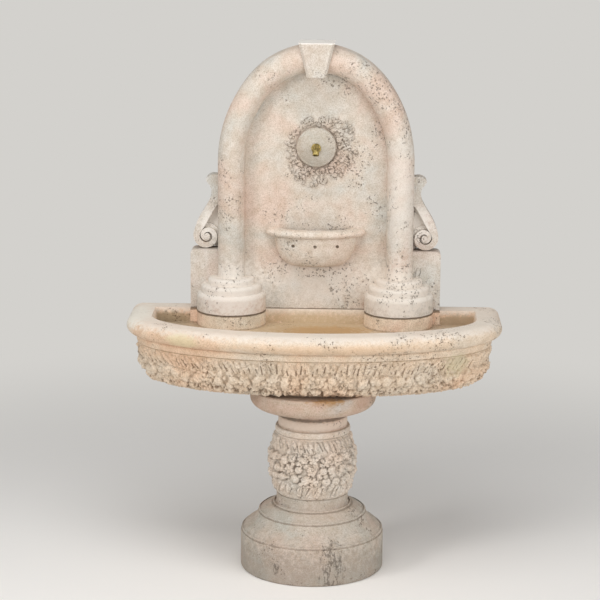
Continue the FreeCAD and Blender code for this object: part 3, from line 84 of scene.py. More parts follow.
def cast_stone(name, seed, cream, blush, cool, pit, pitting=1.0, marks=(), cracks=(), pitted=()):
    """Cast travertine: mottled cement wash, open pits in loose clusters, a matt and slightly sandy face.

    A mark is (middle, reach, colour, strength) in metres: a stain, the dirt in a joint, or painted light
    or shade. A crack is (middle, reach), and a place with more or fewer pits is (middle, reach, how many
    more).
    """
    material, tree, shader, place = blank(name)
    shifted = (seed, 0.3 * seed, 0.7 * seed)
    at = add(tree, "VectorMath", {"operation": "ADD", 1: shifted}, {0: place}).outputs["Vector"]
    # Scales are per metre: patches of about 140 mm, clouds of 25 mm, sand drawn at 3 mm so that it shows,
    # clusters of pits 100 mm across, a swell of 40 mm from rubbing down, and ragged edges of 12 mm
    patterns = {}
    for pattern, scale, detail, rough, bend in (
            ("wash", 7.0, 3.0, 0.55, 0.4), ("cloud", 38.0, 3.0, 0.60, 0.0), ("sand", 300.0, 3.0, 0.65, 0.0),
            ("cluster", 10.0, 3.0, 0.55, 0.2), ("swell", 26.0, 3.0, 0.55, 0.0),
            ("ragged", 85.0, 2.0, 0.60, 0.0)):
        settings = {"Scale": scale, "Detail": detail, "Roughness": rough, "Distortion": bend}
        patterns[pattern] = add(tree, "TexNoise", settings, {"Vector": at}).outputs["Fac"]
    stops = [(0.36, linear(blush)), (0.50, linear(cream)), (0.66, linear(cool))]
    colour = add(tree, "ValToRGB", {"stops": stops}, {"Fac": patterns["wash"]}).outputs["Color"]
    for pattern, low, code, high in (("cloud", 0.30, "#e9e2d9", 0.62), ("sand", 0.34, "#d2c9bc", 0.58)):
        stops = [(low, linear(code)), (high, linear("#ffffff"))]
        tint = add(tree, "ValToRGB", {"stops": stops}, {"Fac": patterns[pattern]}).outputs["Color"]
        colour = add(tree, "Mix", {"data_type": "RGBA", "blend_type": "MULTIPLY", 0: 0.7},
                     {6: colour, 7: tint}).outputs[2]

    # Every place named for this stone is a soft oval with a ragged edge
    ovals = []
    for middle, reach, *_ in (*marks, *cracks, *pitted):
        offset = add(tree, "VectorMath", {"operation": "SUBTRACT", 1: middle}, {0: place}).outputs["Vector"]
        offset = add(tree, "VectorMath", {"operation": "DIVIDE", 1: reach}, {0: offset}).outputs["Vector"]
        far = add(tree, "VectorMath", {"operation": "LENGTH"}, {0: offset}).outputs["Value"]
        far = add(tree, "Math", {"operation": "ADD"}, {0: far, 1: patterns["ragged"]}).outputs[0]
        settings = {"From Min": 1.5, "From Max": 0.9, "interpolation_type": "SMOOTHSTEP"}
        ovals.append(add(tree, "MapRange", settings, {"Value": far}).outputs["Result"])
    marked, split = ovals[:len(marks)], ovals[len(marks):len(marks) + len(cracks)]
    opened = ovals[len(marks) + len(cracks):]
    # Marks paint stains and joint dirt, and some paint light or shade, into the colour
    for (*_, code, strength), oval in zip(marks, marked):
        amount = add(tree, "Math", {"operation": "MULTIPLY", 1: strength}, {0: oval}).outputs[0]
        colour = add(tree, "Mix", {"data_type": "RGBA", 7: linear(code)}, {0: amount, 6: colour}).outputs[2]

    # Pits: ragged holes of 5 to 10 mm and rounder ones of 2 to 5 mm, in clusters, with a few more on the
    # right, which lay lowest in the mould
    lowest_side = 0.09
    side = add(tree, "SeparateXYZ", {}, {0: place}).outputs["X"]
    side = add(tree, "Math", {"operation": "MULTIPLY_ADD", 1: lowest_side},
               {0: side, 2: patterns["cluster"]}).outputs[0]
    for (*_, more), oval in zip(pitted, opened):
        side = add(tree, "Math", {"operation": "MULTIPLY_ADD", 1: more}, {0: oval, 2: side}).outputs[0]
    settings = {"From Min": 0.50 - 0.05 * pitting, "From Max": 0.64, "interpolation_type": "SMOOTHSTEP"}
    where = add(tree, "MapRange", settings, {"Value": side}).outputs["Result"]
    shift = add(tree, "TexNoise", {"Scale": 160.0, "Detail": 2.0, "Roughness": 0.6},
                {"Vector": at}).outputs["Color"]
    pits = None
    for scale, shove, reach, share in ((85.0, 0.022, 0.44, 0.60), (185.0, 0.012, 0.50, 0.40)):
        spot = add(tree, "VectorMath", {"operation": "MULTIPLY_ADD", 1: (shove, shove, shove)},
                   {0: shift, 2: at}).outputs["Vector"]
        cell = add(tree, "TexVoronoi", {"Scale": scale, "Randomness": 1.0}, {"Vector": spot})
        size = add(tree, "SeparateColor", {}, {0: cell.outputs["Color"]}).outputs[0]
        size = add(tree, "Math", {"operation": "SUBTRACT", 1: share}, {0: size}).outputs[0]
        size = add(tree, "Math", {"operation": "MULTIPLY"}, {0: size, 1: where}).outputs[0]
        size = add(tree, "Math", {"operation": "MULTIPLY", 1: 2.0 * reach}, {0: size}).outputs[0]
        far = cell.outputs["Distance"]
        inside = add(tree, "Math", {"operation": "SUBTRACT"}, {0: size, 1: far}).outputs[0]
        hole = add(tree, "MapRange", {"From Min": 0.0, "From Max": 0.12}, {"Value": inside}).outputs["Result"]
        if pits is not None:
            hole = add(tree, "Math", {"operation": "MAXIMUM"}, {0: pits, 1: hole}).outputs[0]
        pits = hole

    # Cracks run mostly upright: thin lines where a pattern drawn out along the height crosses its middle
    drawn_out = (1.0, 1.0, 0.35)
    upright = add(tree, "VectorMath", {"operation": "MULTIPLY", 1: drawn_out}, {0: at}).outputs["Vector"]
    settings = {"Scale": 34.0, "Detail": 5.0, "Roughness": 0.7, "Distortion": 0.3}
    fissure = add(tree, "TexNoise", settings, {"Vector": upright}).outputs["Fac"]
    for oval in split:
        ridge = add(tree, "Math", {"operation": "SUBTRACT", 1: 0.5}, {0: fissure}).outputs[0]
        ridge = add(tree, "Math", {"operation": "ABSOLUTE"}, {0: ridge}).outputs[0]
        settings = {"From Min": 0.020, "From Max": 0.009}
        line = add(tree, "MapRange", settings, {"Value": ridge}).outputs["Result"]
        line = add(tree, "Math", {"operation": "MULTIPLY"}, {0: line, 1: oval}).outputs[0]
        pits = add(tree, "Math", {"operation": "MAXIMUM"}, {0: pits, 1: line}).outputs[0]

    # Dark wash stays in the pits, and painted shade darkens the hollows of cast relief
    shaded_hollows_and_wash = add(tree, "Attribute", {"attribute_name": "recess"}).outputs["Fac"]
    for source, strength in ((pits, 0.72), (shaded_hollows_and_wash, 0.85)):
        amount = add(tree, "Math", {"operation": "MULTIPLY", 1: strength}, {0: source}).outputs[0]
        colour = add(tree, "Mix", {"data_type": "RGBA", 7: linear(pit)}, {0: amount, 6: colour}).outputs[2]
    tree.links.new(colour, shader.inputs["Base Color"])

    # Face: rubbed swell, sandy grain, and pits 2 mm deep
    normal = None
    for height, strength, deep, sunk in ((patterns["swell"], 0.35, 0.004, False),
                                         (patterns["sand"], 0.45, 0.0008, False), (pits, 0.9, 0.002, True)):
        links = {"Height": height} if normal is None else {"Height": height, "Normal": normal}
        normal = add(tree, "Bump", {"Strength": strength, "Distance": deep, "invert": sunk},
                     links).outputs["Normal"]
    tree.links.new(normal, shader.inputs["Normal"])
    shader.inputs["Roughness"].default_value = 0.88
    shader.inputs["IOR"].default_value = 1.5
    shader.inputs["Specular IOR Level"].default_value = 0.25
    return material


def level(z, reach, code, strength, y=0.012, span=0.5):
    """Mark that runs level round a piece, such as the dirt in a joint or a band of painted light or shade,
    with its middle's y and its span.
    """
    return (0.0, y, z), (span, span, reach), code, strength


def dress(material, *names):
    """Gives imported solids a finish, on their objects' own slots."""
    for name in names:
        for slot in nodes[name].material_slots:
            slot.link = "OBJECT"
            slot.material = material


# The wash is greyer than the rest; painted shade darkens the drum toward the ground and lines each bead's
# underside
foot_stone = cast_stone(
    "cast stone, grey wash", 1.0, "#cdc3b8", "#cfc0b4", "#c4c1b9", "#6f655a", 1.5,
    marks=[level(-0.06, 0.22, "#8a8177", 0.52, 0.01, 1.2),
           level(0.224, 0.003, "#7d7062", 0.6),
           level(0.187, 0.0014, "#7d7062", 0.5),
           level(0.164, 0.0030, "#7d7062", 0.65),
           level(0.109, 0.0028, "#7d7062", 0.65)],
    cracks=[((0.06, -0.18, 0.05), (0.045, 0.10, 0.11)),
            ((-0.10, -0.17, 0.045), (0.016, 0.08, 0.022))])
dress(foot_stone, "pedestal_foot")


def put(name, data):
    """New object for a mesh, a lamp or a camera."""
    piece = bpy.data.objects.new(name, data)
    bpy.context.collection.objects.link(piece)
    return piece


def foot_beads():
    """Three worn beads round the casting: at the drum's arris, under the ring and at the neck's foot."""
    axis_y, sunk, sweep = 12.0, 1.2, 100.0
    around, across = 160, 9
    points, faces = [], []
    for radius, height, bead in ((203.5, 113.5, 3.4), (153.5, 168.0, 3.6), (112.0, 190.0, 2.8)):
        first = len(points)
        for k in range(around):
            turn = 2 * math.pi * k / around
            worn = bead * (1 + 0.12 * math.sin(5 * turn + radius) + 0.08 * math.sin(13 * turn))
            for q in range(across):
                lean = math.radians(-sweep + 2 * sweep * q / (across - 1))
                r = radius + worn * math.cos(lean) - sunk
                points.append((r * math.cos(turn) / 1000, (axis_y + r * math.sin(turn)) / 1000,
                               (height + worn * math.sin(lean)) / 1000))
        for k in range(around):
            for q in range(across - 1):
                here, there = first + k * across + q, first + (k + 1) % around * across + q
                faces.append((here, there, there + 1, here + 1))
    mesh = bpy.data.meshes.new("foot_beads")
    mesh.from_pydata(points, [], faces)
    mesh.polygons.foreach_set("use_smooth", [True] * len(mesh.polygons))
    mesh.materials.append(foot_stone)
    piece = put("foot_beads", mesh)
    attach(piece, "root")


foot_beads()


# Pedestal shaft: a swelling barrel of cast stone between two mortared joints, with a plain ring at its
# top. Its foliage is cast in relief from a carved mould: slanting leaves above and below, and fruit,
# leaves and flowers heaped between them. The fine edges are softened by the mould and by wear.

# The ivory wash is light and even, so that the carving reads by its shade; a thin line marks each ring
shaft_stone = cast_stone(
    "cast stone, ivory wash", 2.3, "#e6dace", "#e7d7c9", "#ded9d1", "#75685b", 1.0,
    marks=[level(0.424, 0.002, "#857767", 0.35), level(0.405, 0.002, "#857767", 0.35)])
dress(shaft_stone, "pedestal_shaft")


def relief_field(width, height, cell, closed):
    """Blank relief of that size in millimetres; a closed one runs right round."""
    columns, rows = int(round(width / cell)), int(round(height / cell)) + 1
    shape = (rows, columns + (0 if closed else 1))
    return {"cell": cell, "closed": closed, "depth": np.zeros(shape), "dark": np.zeros(shape)}


def away(u, v, angle, far):
    """The point that far from (u, v) along an angle."""
    return u + far * math.cos(angle), v + far * math.sin(angle)


def near(field, u, v, reach):
    """The part of a relief within reach of (u, v), and how far its points lie from there both ways."""
    cell = field["cell"]
    rows, columns = field["depth"].shape
    i = np.arange(int((v - reach) / cell), int((v + reach) / cell) + 2)
    j = np.arange(int((u - reach) / cell), int((u + reach) / cell) + 2)
    i = i[(i >= 0) & (i < rows)]
    j = j if field["closed"] else j[(j >= 0) & (j < columns)]
    du, dv = np.meshgrid(j * cell - u, i * cell - v)
    return np.ix_(i, j % columns), du, dv


def lay(field, u, v, reach, form, base=0.0, groove=3.0):
    """Lays one form over the relief at (u, v), cutting a soft groove round its outline.

    The groove fades over a few millimetres, and what lies below shows through the form by a share.
    """
    fade, through = 2.2, 0.4
    depth = field["depth"]
    window, du, dv = near(field, u, v, reach)
    height, edge = form(du, dv)
    below = depth[window]
    cut = np.maximum(below - groove * np.exp(np.minimum(edge, 0) / fade), np.minimum(below, 0.0))
    depth[window] = np.where(edge > 0, np.maximum(base + height, through * below), cut)


def blade(du, dv, angle, length, bend=0.0):
    """Where a point lies on a leaf: its share of the length, the same kept inside, and the way across."""
    t = (du * math.cos(angle) + dv * math.sin(angle)) / length
    return t, np.clip(t, 0.001, 0.999), -du * math.sin(angle) + dv * math.cos(angle) - bend * length * t * t


def margin(t, a, half, length):
    """How far inside a leaf's outline a point lies, and its share of the way from the midrib to there."""
    edge = np.where(t < 0, t * length, np.where(t > 1, (1 - t) * length, half - np.abs(a)))
    return edge, np.clip(np.abs(a) / np.maximum(half, 0.4), 0, 1)


def leaf(angle, length, width, height, bend=0.0, lobes=4):
    """Lobed leaf from its stalk along an angle, with a sunk midrib and side veins."""
    midrib, sunk, ribbed = 1.8, 0.30, 0.07

    def form(du, dv):
        t, s, a = blade(du, dv, angle, length, bend)
        # Widest before the middle, with shallow lobes, and arched along its length
        full = np.sin(math.pi * s ** 0.72) ** 0.7
        half = width * full * (0.72 + 0.28 * np.abs(np.cos(math.pi * lobes * s)))
        edge, q = margin(t, a, half, length)
        arch = 0.45 + 0.55 * np.sin(math.pi * (0.10 + 0.75 * s))
        body = height * arch * (0.35 + 0.65 * np.sqrt(1 - 0.95 * q * q))
        veins = 1 + np.cos(2 * math.pi * (lobes * s - 0.8 * q))
        return body - (sunk * height * np.exp(-(a / midrib) ** 2) + ribbed * height * veins), edge
    return form


def tongue(angle, length, width, height):
    """Plain pointed leaf, rounded across, as in the rows along the edges."""
    midrib, sunk = 1.6, 0.20

    def form(du, dv):
        t, s, a = blade(du, dv, angle, length)
        half = width * np.minimum(1.0, np.sqrt(1.0001 - s) * 1.35)
        edge, q = margin(t, a, half, length)
        body = height * (0.50 + 0.50 * s) * (0.15 + 0.85 * np.sqrt(1 - 0.98 * q * q))
        return body - sunk * height * np.exp(-(a / midrib) ** 2), edge
    return form


def fruit(radius, height, furrow=0.0):
    """Round fruit, with a furrow across it if it is a peach or an apricot."""
    width, sunk = 2.0, 0.30

    def form(du, dv):
        r = np.hypot(du, dv) / radius
        dome = height * (0.05 + 0.95 * np.sqrt(np.clip(1 - r * r, 0, 1)))
        if furrow:
            across = (du * math.cos(furrow) + dv * math.sin(furrow)) / width
            dome = dome - sunk * height * np.exp(-across ** 2)
        return dome, radius * (1 - r)
    return form


def flower(radius, height, petals, turn):
    """Open flower: a ring of petals round a button."""
    button = 0.30

    def form(du, dv):
        r = np.hypot(du, dv) / radius
        wave = np.abs(np.cos(0.5 * petals * (np.arctan2(dv, du) - turn)))
        dish = height * (0.45 + 0.45 * np.clip(r, 0, 1)) * (0.30 + 0.70 * wave)
        dome = np.maximum(height * 1.1 * np.sqrt(np.clip(1 - (r / button) ** 2, 0, 1)), 0.30 * height)
        return np.where(r < button, dome, dish), radius * (0.62 + 0.38 * wave - r)
    return form


def heap(field, low, high, length, relief, rng, rows=2, size=1.0):
    """Fruit, leaves and flowers heaped along a strip.

    Leaves lie behind, the large forms stand on a loose grid and small ones fill what is between. The
    heights are shares of the relief, which is in millimetres, and the sizes are millimetres at size 1.
    """
    pitch = 37.0 * size
    # Of the large forms three in ten are fruit, a quarter are flowers, as many are leaves, the rest berries
    fruits, flowers, leaves = 0.30, 0.56, 0.84
    spots = []
    for row in range(rows):
        v0 = low + (high - low) * (row + 0.5) / rows
        for k in range(int(round(length / pitch))):
            u = (k + 0.5 * (row % 2) + rng.uniform(0.3, 0.7)) * pitch
            spots.append((u, v0 + rng.uniform(-6, 6) * size))
    for u, v in spots:
        for _ in range(4):
            turn = rng.uniform(0, 2 * math.pi)
            form = leaf(turn, rng.uniform(30, 42) * size, rng.uniform(9, 13) * size, 0.60 * relief,
                        rng.uniform(-0.3, 0.3), 3)
            lay(field, u, v, 52 * size, form, 0.10 * relief)
    for u, v in spots:
        kind = rng.random()
        if kind < fruits:
            r = rng.uniform(11.5, 15.5) * size
            lay(field, u, v, r + 8, fruit(r, 0.75 * relief, rng.uniform(0.1, 3.0)), 0.35 * relief)
            if rng.random() < 0.5:
                a = rng.uniform(0, 2 * math.pi)
                lay(field, *away(u, v, a, 1.5 * r), r + 8, fruit(0.7 * r, 0.6 * relief, 0.7), 0.3 * relief)
        elif kind < flowers:
            form = flower(rng.uniform(15, 18) * size, 0.70 * relief, 5, rng.uniform(0, 1))
            lay(field, u, v, 26 * size, form, 0.35 * relief)
        elif kind < leaves:
            a = rng.uniform(0, 2 * math.pi)
            form = leaf(a, 36 * size, 13 * size, 0.75 * relief, rng.uniform(-0.3, 0.3), 3)
            lay(field, *away(u, v, a, -16 * size), 46 * size, form, 0.35 * relief)
        else:
            # Six berries stand round a seventh
            for q in range(6):
                a = q * 1.05 + rng.uniform(-0.2, 0.2)
                form = fruit(5.8 * size, 0.5 * relief)
                lay(field, *away(u, v, a, 8.5 * size), 13, form, 0.40 * relief, 2.0)
            lay(field, u, v, 13, fruit(6.2 * size, 0.6 * relief), 0.45 * relief, 2.0)
    for _ in range(int(0.8 * len(spots))):
        u, v = rng.uniform(0, length), rng.uniform(low - 4, high + 4)
        if rng.random() < 0.35:
            lay(field, u, v, 12, fruit(rng.uniform(4.5, 7) * size, 0.5 * relief), 0.30 * relief, 2.4)
        else:
            form = leaf(rng.uniform(0, 2 * math.pi), rng.uniform(18, 26) * size, rng.uniform(6, 8.5) * size,
                        0.55 * relief, rng.uniform(-0.3, 0.3), 3)
            lay(field, u, v, 30, form, 0.30 * relief)


def fringe(field, v, length, spacing, lean, size, relief, rng, wide=0.48):
    """Row of leaves side by side along a strip; lean gives the angle at a place, and size the length."""
    for k in range(int(round(length / spacing))):
        u = (k + rng.uniform(0.35, 0.65)) * spacing
        form = tongue(lean(u) + rng.uniform(-0.22, 0.22), size * rng.uniform(0.85, 1.15),
                      spacing * wide * rng.uniform(0.88, 1.12), relief * rng.uniform(0.8, 1.0))
        lay(field, u, v, size * 1.4, form, 0.5)


def bore(field, u, v, size):
    """Marks a hole of painted shade in the relief, of that radius in millimetres."""
    dark, core = field["dark"], 1.6
    window, du, dv = near(field, u, v, size)
    dark[window] = np.maximum(dark[window], np.clip(core * (1 - np.hypot(du, dv) / size), 0, 1))


def slits(field, v, length, spacing, lean, size, rng):
    """Narrow gaps of painted shade between the leaves of a row, from the root half way up."""
    taper = 1.2
    for k in range(int(round(length / spacing))):
        u = (k + rng.uniform(-0.3, 0.3)) * spacing
        angle = lean(k * spacing) + rng.uniform(-0.2, 0.2)
        full = size * rng.uniform(0.4, 1.2)
        start = v + rng.uniform(-5, 4)
        wide = rng.uniform(2.2, 3.8)
        for share in np.linspace(0, 1, 12):
            bore(field, *away(u, start, angle, share * full), wide - taper * share)


def soften(depth, closed):
    """One pass of rounding, as wear and the mould leave it."""
    side = np.roll(depth, 1, 1) + np.roll(depth, -1, 1)
    if not closed:
        side[:, 0] = depth[:, 0] * 2
        side[:, -1] = depth[:, -1] * 2
    up = np.vstack([depth[:1], depth[:-1]])
    down = np.vstack([depth[1:], depth[-1:]])
    return 0.5 * depth + 0.125 * (side + up + down)


def recess(depth, closed, full):
    """How far each point lies under what is round it, as a share of full; it sets the painted shade there."""
    mean, passes = depth, 30
    for _ in range(passes):
        mean = soften(mean, closed)
    return np.clip((mean - depth) / full, 0, 1)


def bed(depth, fade):
    """Raises a relief a little off the stone under it, and sinks its edges into that stone."""
    proud, sunk = 0.9, 1.5
    return (depth + proud) * fade - sunk * (1 - fade)


def relief_piece(name, points, closed, material, relief_shade_and_wash, shown=None):
    """Mesh over a grid of points in millimetres, closed round if it runs right round."""
    rows, columns = points.shape[:2]
    index = np.arange(rows * columns).reshape(rows, columns)
    if closed:
        index = np.hstack([index, index[:, :1]])
    corners = [index[:-1, :-1], index[:-1, 1:], index[1:, 1:], index[1:, :-1]]
    faces = np.stack(corners, axis=-1).reshape(-1, 4)
    places, shade_and_wash = points.reshape(-1, 3) / 1000, relief_shade_and_wash.reshape(-1)
    if shown is not None:
        faces = faces[shown.reshape(-1)[faces].any(axis=1)]
        used, faces = np.unique(faces, return_inverse=True)
        faces, places, shade_and_wash = faces.reshape(-1, 4), places[used], shade_and_wash[used]
    mesh = bpy.data.meshes.new(name)
    mesh.from_pydata(places.tolist(), [], faces.tolist())
    # Each point carries its painted shade, with any wash, for the stone's colour
    mesh.attributes.new("recess", "FLOAT", "POINT").data.foreach_set("value", shade_and_wash.astype(np.float32))
    mesh.polygons.foreach_set("use_smooth", [True] * len(mesh.polygons))
    mesh.materials.append(material)
    piece = put(name, mesh)
    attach(piece, "root")
    return piece


def barrel_carving():
    """Relief round the barrel, on the same swelling profile as the stone under it."""
    low, high, end, belly, axis_y = 228.0, 401.0, 107.0, 119.0, 12.0
    around = math.pi * (end + belly)
    # Rows are placed by millimetres up the field; holes are sunk, and a hollow of dark_at gets full painted
    # shade
    lower, upper, slant, size, relief = 17.0, 16.0, 1.95, 42, 8.0
    drilled, dark_at, hem = 3.0, 3.6, 4.0
    field = relief_field(around, high - low, 1.7, True)
    rng = np.random.default_rng(11)
    fringe(field, 46, around, lower, lambda u: -slant, size, relief, rng)
    fringe(field, high - low - 38, around, upper, lambda u: slant, size, relief, rng)
    heap(field, 44, 132, around, 12.0, rng, 3, 0.84)
    slits(field, 36, around, lower, lambda u: -slant, 26, rng)
    slits(field, high - low - 28, around, upper, lambda u: slant, 22, rng)
    depth = soften(field["depth"], True) - drilled * field["dark"]
    shade_and_wash = np.maximum(recess(depth, True, dark_at), 0.85 * field["dark"])
    rows, columns = depth.shape
    v = np.linspace(0, 1, rows)
    depth = bed(depth, np.clip(np.minimum(v, 1 - v) * (high - low) / hem, 0, 1)[:, None])
    # The barrel's side is an arc whose chord runs a little past both ends
    chord, rise = (high - low) / 2 + 4, belly - end
    round_radius = (chord ** 2 + rise ** 2) / (2 * rise)
    z = low + v * (high - low)
    radius = belly - round_radius + np.sqrt(round_radius ** 2 - (z - (low + high) / 2) ** 2)
    angle = np.arange(columns) / columns * 2 * math.pi
    r = radius[:, None] + depth
    points = np.stack([r * np.cos(angle), axis_y + r * np.sin(angle), np.broadcast_to(z[:, None], r.shape)],
                      axis=-1)
    return relief_piece("barrel_carving", points, True, shaft_stone, shade_and_wash)


barrel = barrel_carving()
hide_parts("shaft_foliage")


# Pedestal cap: a short neck and a thick round plate of cast stone, bedded in mortar on the shaft, with
# the basin on it. Water that runs under the bowl has left a rust-coloured stain on its front.

# The rose wash is duller and pinker than the shaft's; painted light makes the neck paler in the plate's
# shade, and a painted shadow lines the neck just under the plate
cap_stone = cast_stone(
    "cast stone, rose wash", 3.1, "#cebbab", "#ccb2a2", "#c8c0b9", "#6f6054", 0.9,
    marks=[((0.07, -0.17, 0.545), (0.11, 0.06, 0.026), "#a9804f", 0.85),
           level(0.440, 0.017, "#ddcdbe", 0.7), level(0.459, 0.007, "#6d6053", 0.80)])
dress(cap_stone, "pedestal_cap")


# Basin: a bow-fronted bowl of cast stone with a roll rim, a fillet and a band of fruit and leaves, all
# one casting, bedded in mortar on the cap with its back to the wall.

# The warm wash has more ochre than the rest. Standing water has left amber and brown stains on the back
# ledge; the inner walls are painted darker toward the back corners, with more pits in the left one, and
# lime has paled the rim's top
basin_stone = cast_stone(
    "cast stone, warm wash", 4.0, "#ebd7c1", "#e8cbb1", "#e2d5c4", "#6c543f", 1.1,
    marks=[level(0.742, 0.038, "#eae2d8", 0.65, 0.0, 2.0),
           ((0.0, 0.10, 0.690), (0.36, 0.15, 0.050), "#bfa988", 0.8),
           ((0.03, 0.06, 0.686), (0.18, 0.09, 0.030), "#b98d55", 0.6),
           ((0.05, -0.20, 0.697), (0.40, 0.10, 0.020), "#d8b592", 0.45),
           level(0.6560, 0.0026, "#8f765a", 0.6, 0.0, 2.0),
           ((-0.37, 0.12, 0.66), (0.12, 0.2, 0.06), "#9c8a70", 0.7),
           ((-0.43, 0.165, 0.698), (0.10, 0.05, 0.026), "#9a886c", 0.75),
           ((0.43, 0.165, 0.698), (0.10, 0.05, 0.026), "#a8957a", 0.6),
           ((-0.52, 0.08, 0.72), (0.07, 0.16, 0.045), "#e9e5da", 0.7),
           ((0.40, 0.13, 0.68), (0.12, 0.2, 0.05), "#b39f84", 0.6),
           ((-0.37, -0.15, 0.70), (0.07, 0.06, 0.030), "#d6caa2", 0.55),
           ((0.42, -0.10, 0.63), (0.07, 0.06, 0.045), "#c9bf9c", 0.55)],
    cracks=[((-0.335, -0.17, 0.70), (0.014, 0.04, 0.03)),
            ((-0.30, -0.17, 0.61), (0.02, 0.06, 0.05))],
    pitted=[((-0.43, 0.165, 0.70), (0.12, 0.06, 0.05), 0.16),
            ((0.35, 0.10, 0.72), (0.20, 0.25, 0.05), -0.04)])
dress(basin_stone, "basin")


def band_carving():
    """Relief round the basin's face and belly, from one back corner to the other."""
    # Plan of the face: straight sides from the wall, and half an ellipse for the bow
    half, reach, bow_y, wall_y = 510.0, 251.0, 64.0, 216.0
    theta = np.linspace(math.pi, 2 * math.pi, 1441)
    bow = np.stack([half * np.cos(theta), bow_y + reach * np.sin(theta)], axis=-1)
    normal = np.stack([np.cos(theta) / half, np.sin(theta) / reach], axis=-1)
    normal /= np.linalg.norm(normal, axis=1, keepdims=True)
    side = np.linspace(wall_y, bow_y, 200)[:-1]
    left = np.stack([np.full(len(side), -half), side], axis=-1)
    plan = np.vstack([left, bow, left[::-1] * (-1, 1)])
    out = np.vstack([np.tile((-1.0, 0.0), (len(side), 1)), normal, np.tile((1.0, 0.0), (len(side), 1))])
    run = np.concatenate([[0], np.cumsum(np.linalg.norm(np.diff(plan, axis=0), axis=1))])

    # Profile as (inset, height): a battered face, then the belly that turns under it
    top_z, turn_z, batter, belly_in, belly_down, belly_turn = 655, 612, 10, 110, 75, 78
    turn = np.radians(np.linspace(0, belly_turn, 60))
    face = np.stack([np.linspace(0, batter, 20), np.linspace(top_z, turn_z, 20)], axis=-1)
    belly = np.stack([batter + belly_in * (1 - np.cos(turn)), turn_z - belly_down * np.sin(turn)], axis=-1)
    profile = np.vstack([face[:-1], belly])
    fall = np.concatenate([[0], np.cumsum(np.linalg.norm(np.diff(profile, axis=0), axis=1))])
    width, height = run[-1], fall[-1]

    # Rows are placed by millimetres down the face: two rows of leaves lie under the fruit, and a third
    # hangs from the fillet and leans to the middle
    cell, upper, upward, size, drilled, dark_at = 1.8, 16.0, 1.5, 36, 3.5, 5.4
    field = relief_field(width, height, cell, False)
    rng = np.random.default_rng(5)

    def hang(u):
        """Downward, and toward the middle."""
        return -math.pi / 2 + 0.45 * math.tanh((u - width / 2) / 250)

    fringe(field, height - 30, width, 23.0, lambda u: upward, size, 8.0, rng)
    fringe(field, 104, width, 25.0, lambda u: upward, size, 9.0, rng, 0.40)
    fringe(field, 40, width, upper, hang, 40, 10.0, rng, 0.60)
    heap(field, 44, 116, width, 13.0, rng)
    # Deep holes lie between the lowest leaves, and slits between the upper ones; painted shade darkens both
    spacing = 6.5
    for k in range(int(width / spacing)):
        bore(field, (k + rng.uniform(0, 1)) * spacing, rng.uniform(86, 128), rng.uniform(3.2, 6.0))
    slits(field, 37, width, upper, hang, 24, rng)
    depth = soften(field["depth"], False) - drilled * field["dark"]
    rows, columns = depth.shape

    # Painted shade under the turn of the belly: the hollows are darker there, and so is all between them
    first, last, blend = 84.0, 150.0, 22.0
    down = np.arange(rows)[:, None] * cell
    belly_shade = np.clip((down - first) / blend, 0, 1) * np.clip((last - down) / blend, 0, 1)
    shade_and_wash = 0.85 * np.clip(recess(depth, False, dark_at) * (1 + 1.8 * belly_shade) + 0.12 * belly_shade, 0, 1)
    shade_and_wash = np.maximum(shade_and_wash, field["dark"])

    u, v, hem = np.linspace(0, width, columns), np.linspace(0, height, rows), 5.0
    depth = bed(depth, np.clip(np.minimum(v, height - v) / hem, 0, 1)[:, None]
                * np.clip(np.minimum(u, width - u) / hem, 0, 1))
    inset, z = np.interp(v, fall, profile[:, 0]), np.interp(v, fall, profile[:, 1])
    slope = np.stack([np.gradient(inset, v), np.gradient(z, v)], axis=-1)
    tilt_out, tilt_down = -slope[:, 1], -slope[:, 0]
    x0, y0 = np.interp(u, run, plan[:, 0]), np.interp(u, run, plan[:, 1])
    nx, ny = np.interp(u, run, out[:, 0]), np.interp(u, run, out[:, 1])
    # At an inset the bow is a smaller half ellipse, so its points close in on the middle by ratio
    ratio_x = 1 - inset[:, None] / half
    ratio_y = np.where((y0 < bow_y)[None, :], 1 - inset[:, None] / reach, 1.0)
    x = x0 * ratio_x + nx * tilt_out[:, None] * depth
    y = bow_y + (y0 - bow_y) * ratio_y + ny * tilt_out[:, None] * depth
    points = np.stack([x, y, z[:, None] + tilt_down[:, None] * depth], axis=-1)
    return relief_piece("basin_carving", points[:, ::-1], False, basin_stone, shade_and_wash[:, ::-1])


band = band_carving()
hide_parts("basin_foliage")


# Drain: a brass flange bedded on a rubber gasket in the bowl's floor, drawn down by a lock nut inside the
# hollow pedestal, and closed by a tapered rubber stopper with a lug to lift it by.
def weather(tree, shader, amount, clean, worn, smooth, rough):
    """Takes a finish from its clean colour and gloss to its worn ones, by an amount from 0 to 1."""
    colour = add(tree, "Mix", {"data_type": "RGBA", 6: linear(clean), 7: linear(worn)},
                 {0: amount}).outputs[2]
    tree.links.new(colour, shader.inputs["Base Color"])
    gloss = add(tree, "MapRange", {"To Min": smooth, "To Max": rough}, {"Value": amount}).outputs["Result"]
    tree.links.new(gloss, shader.inputs["Roughness"])


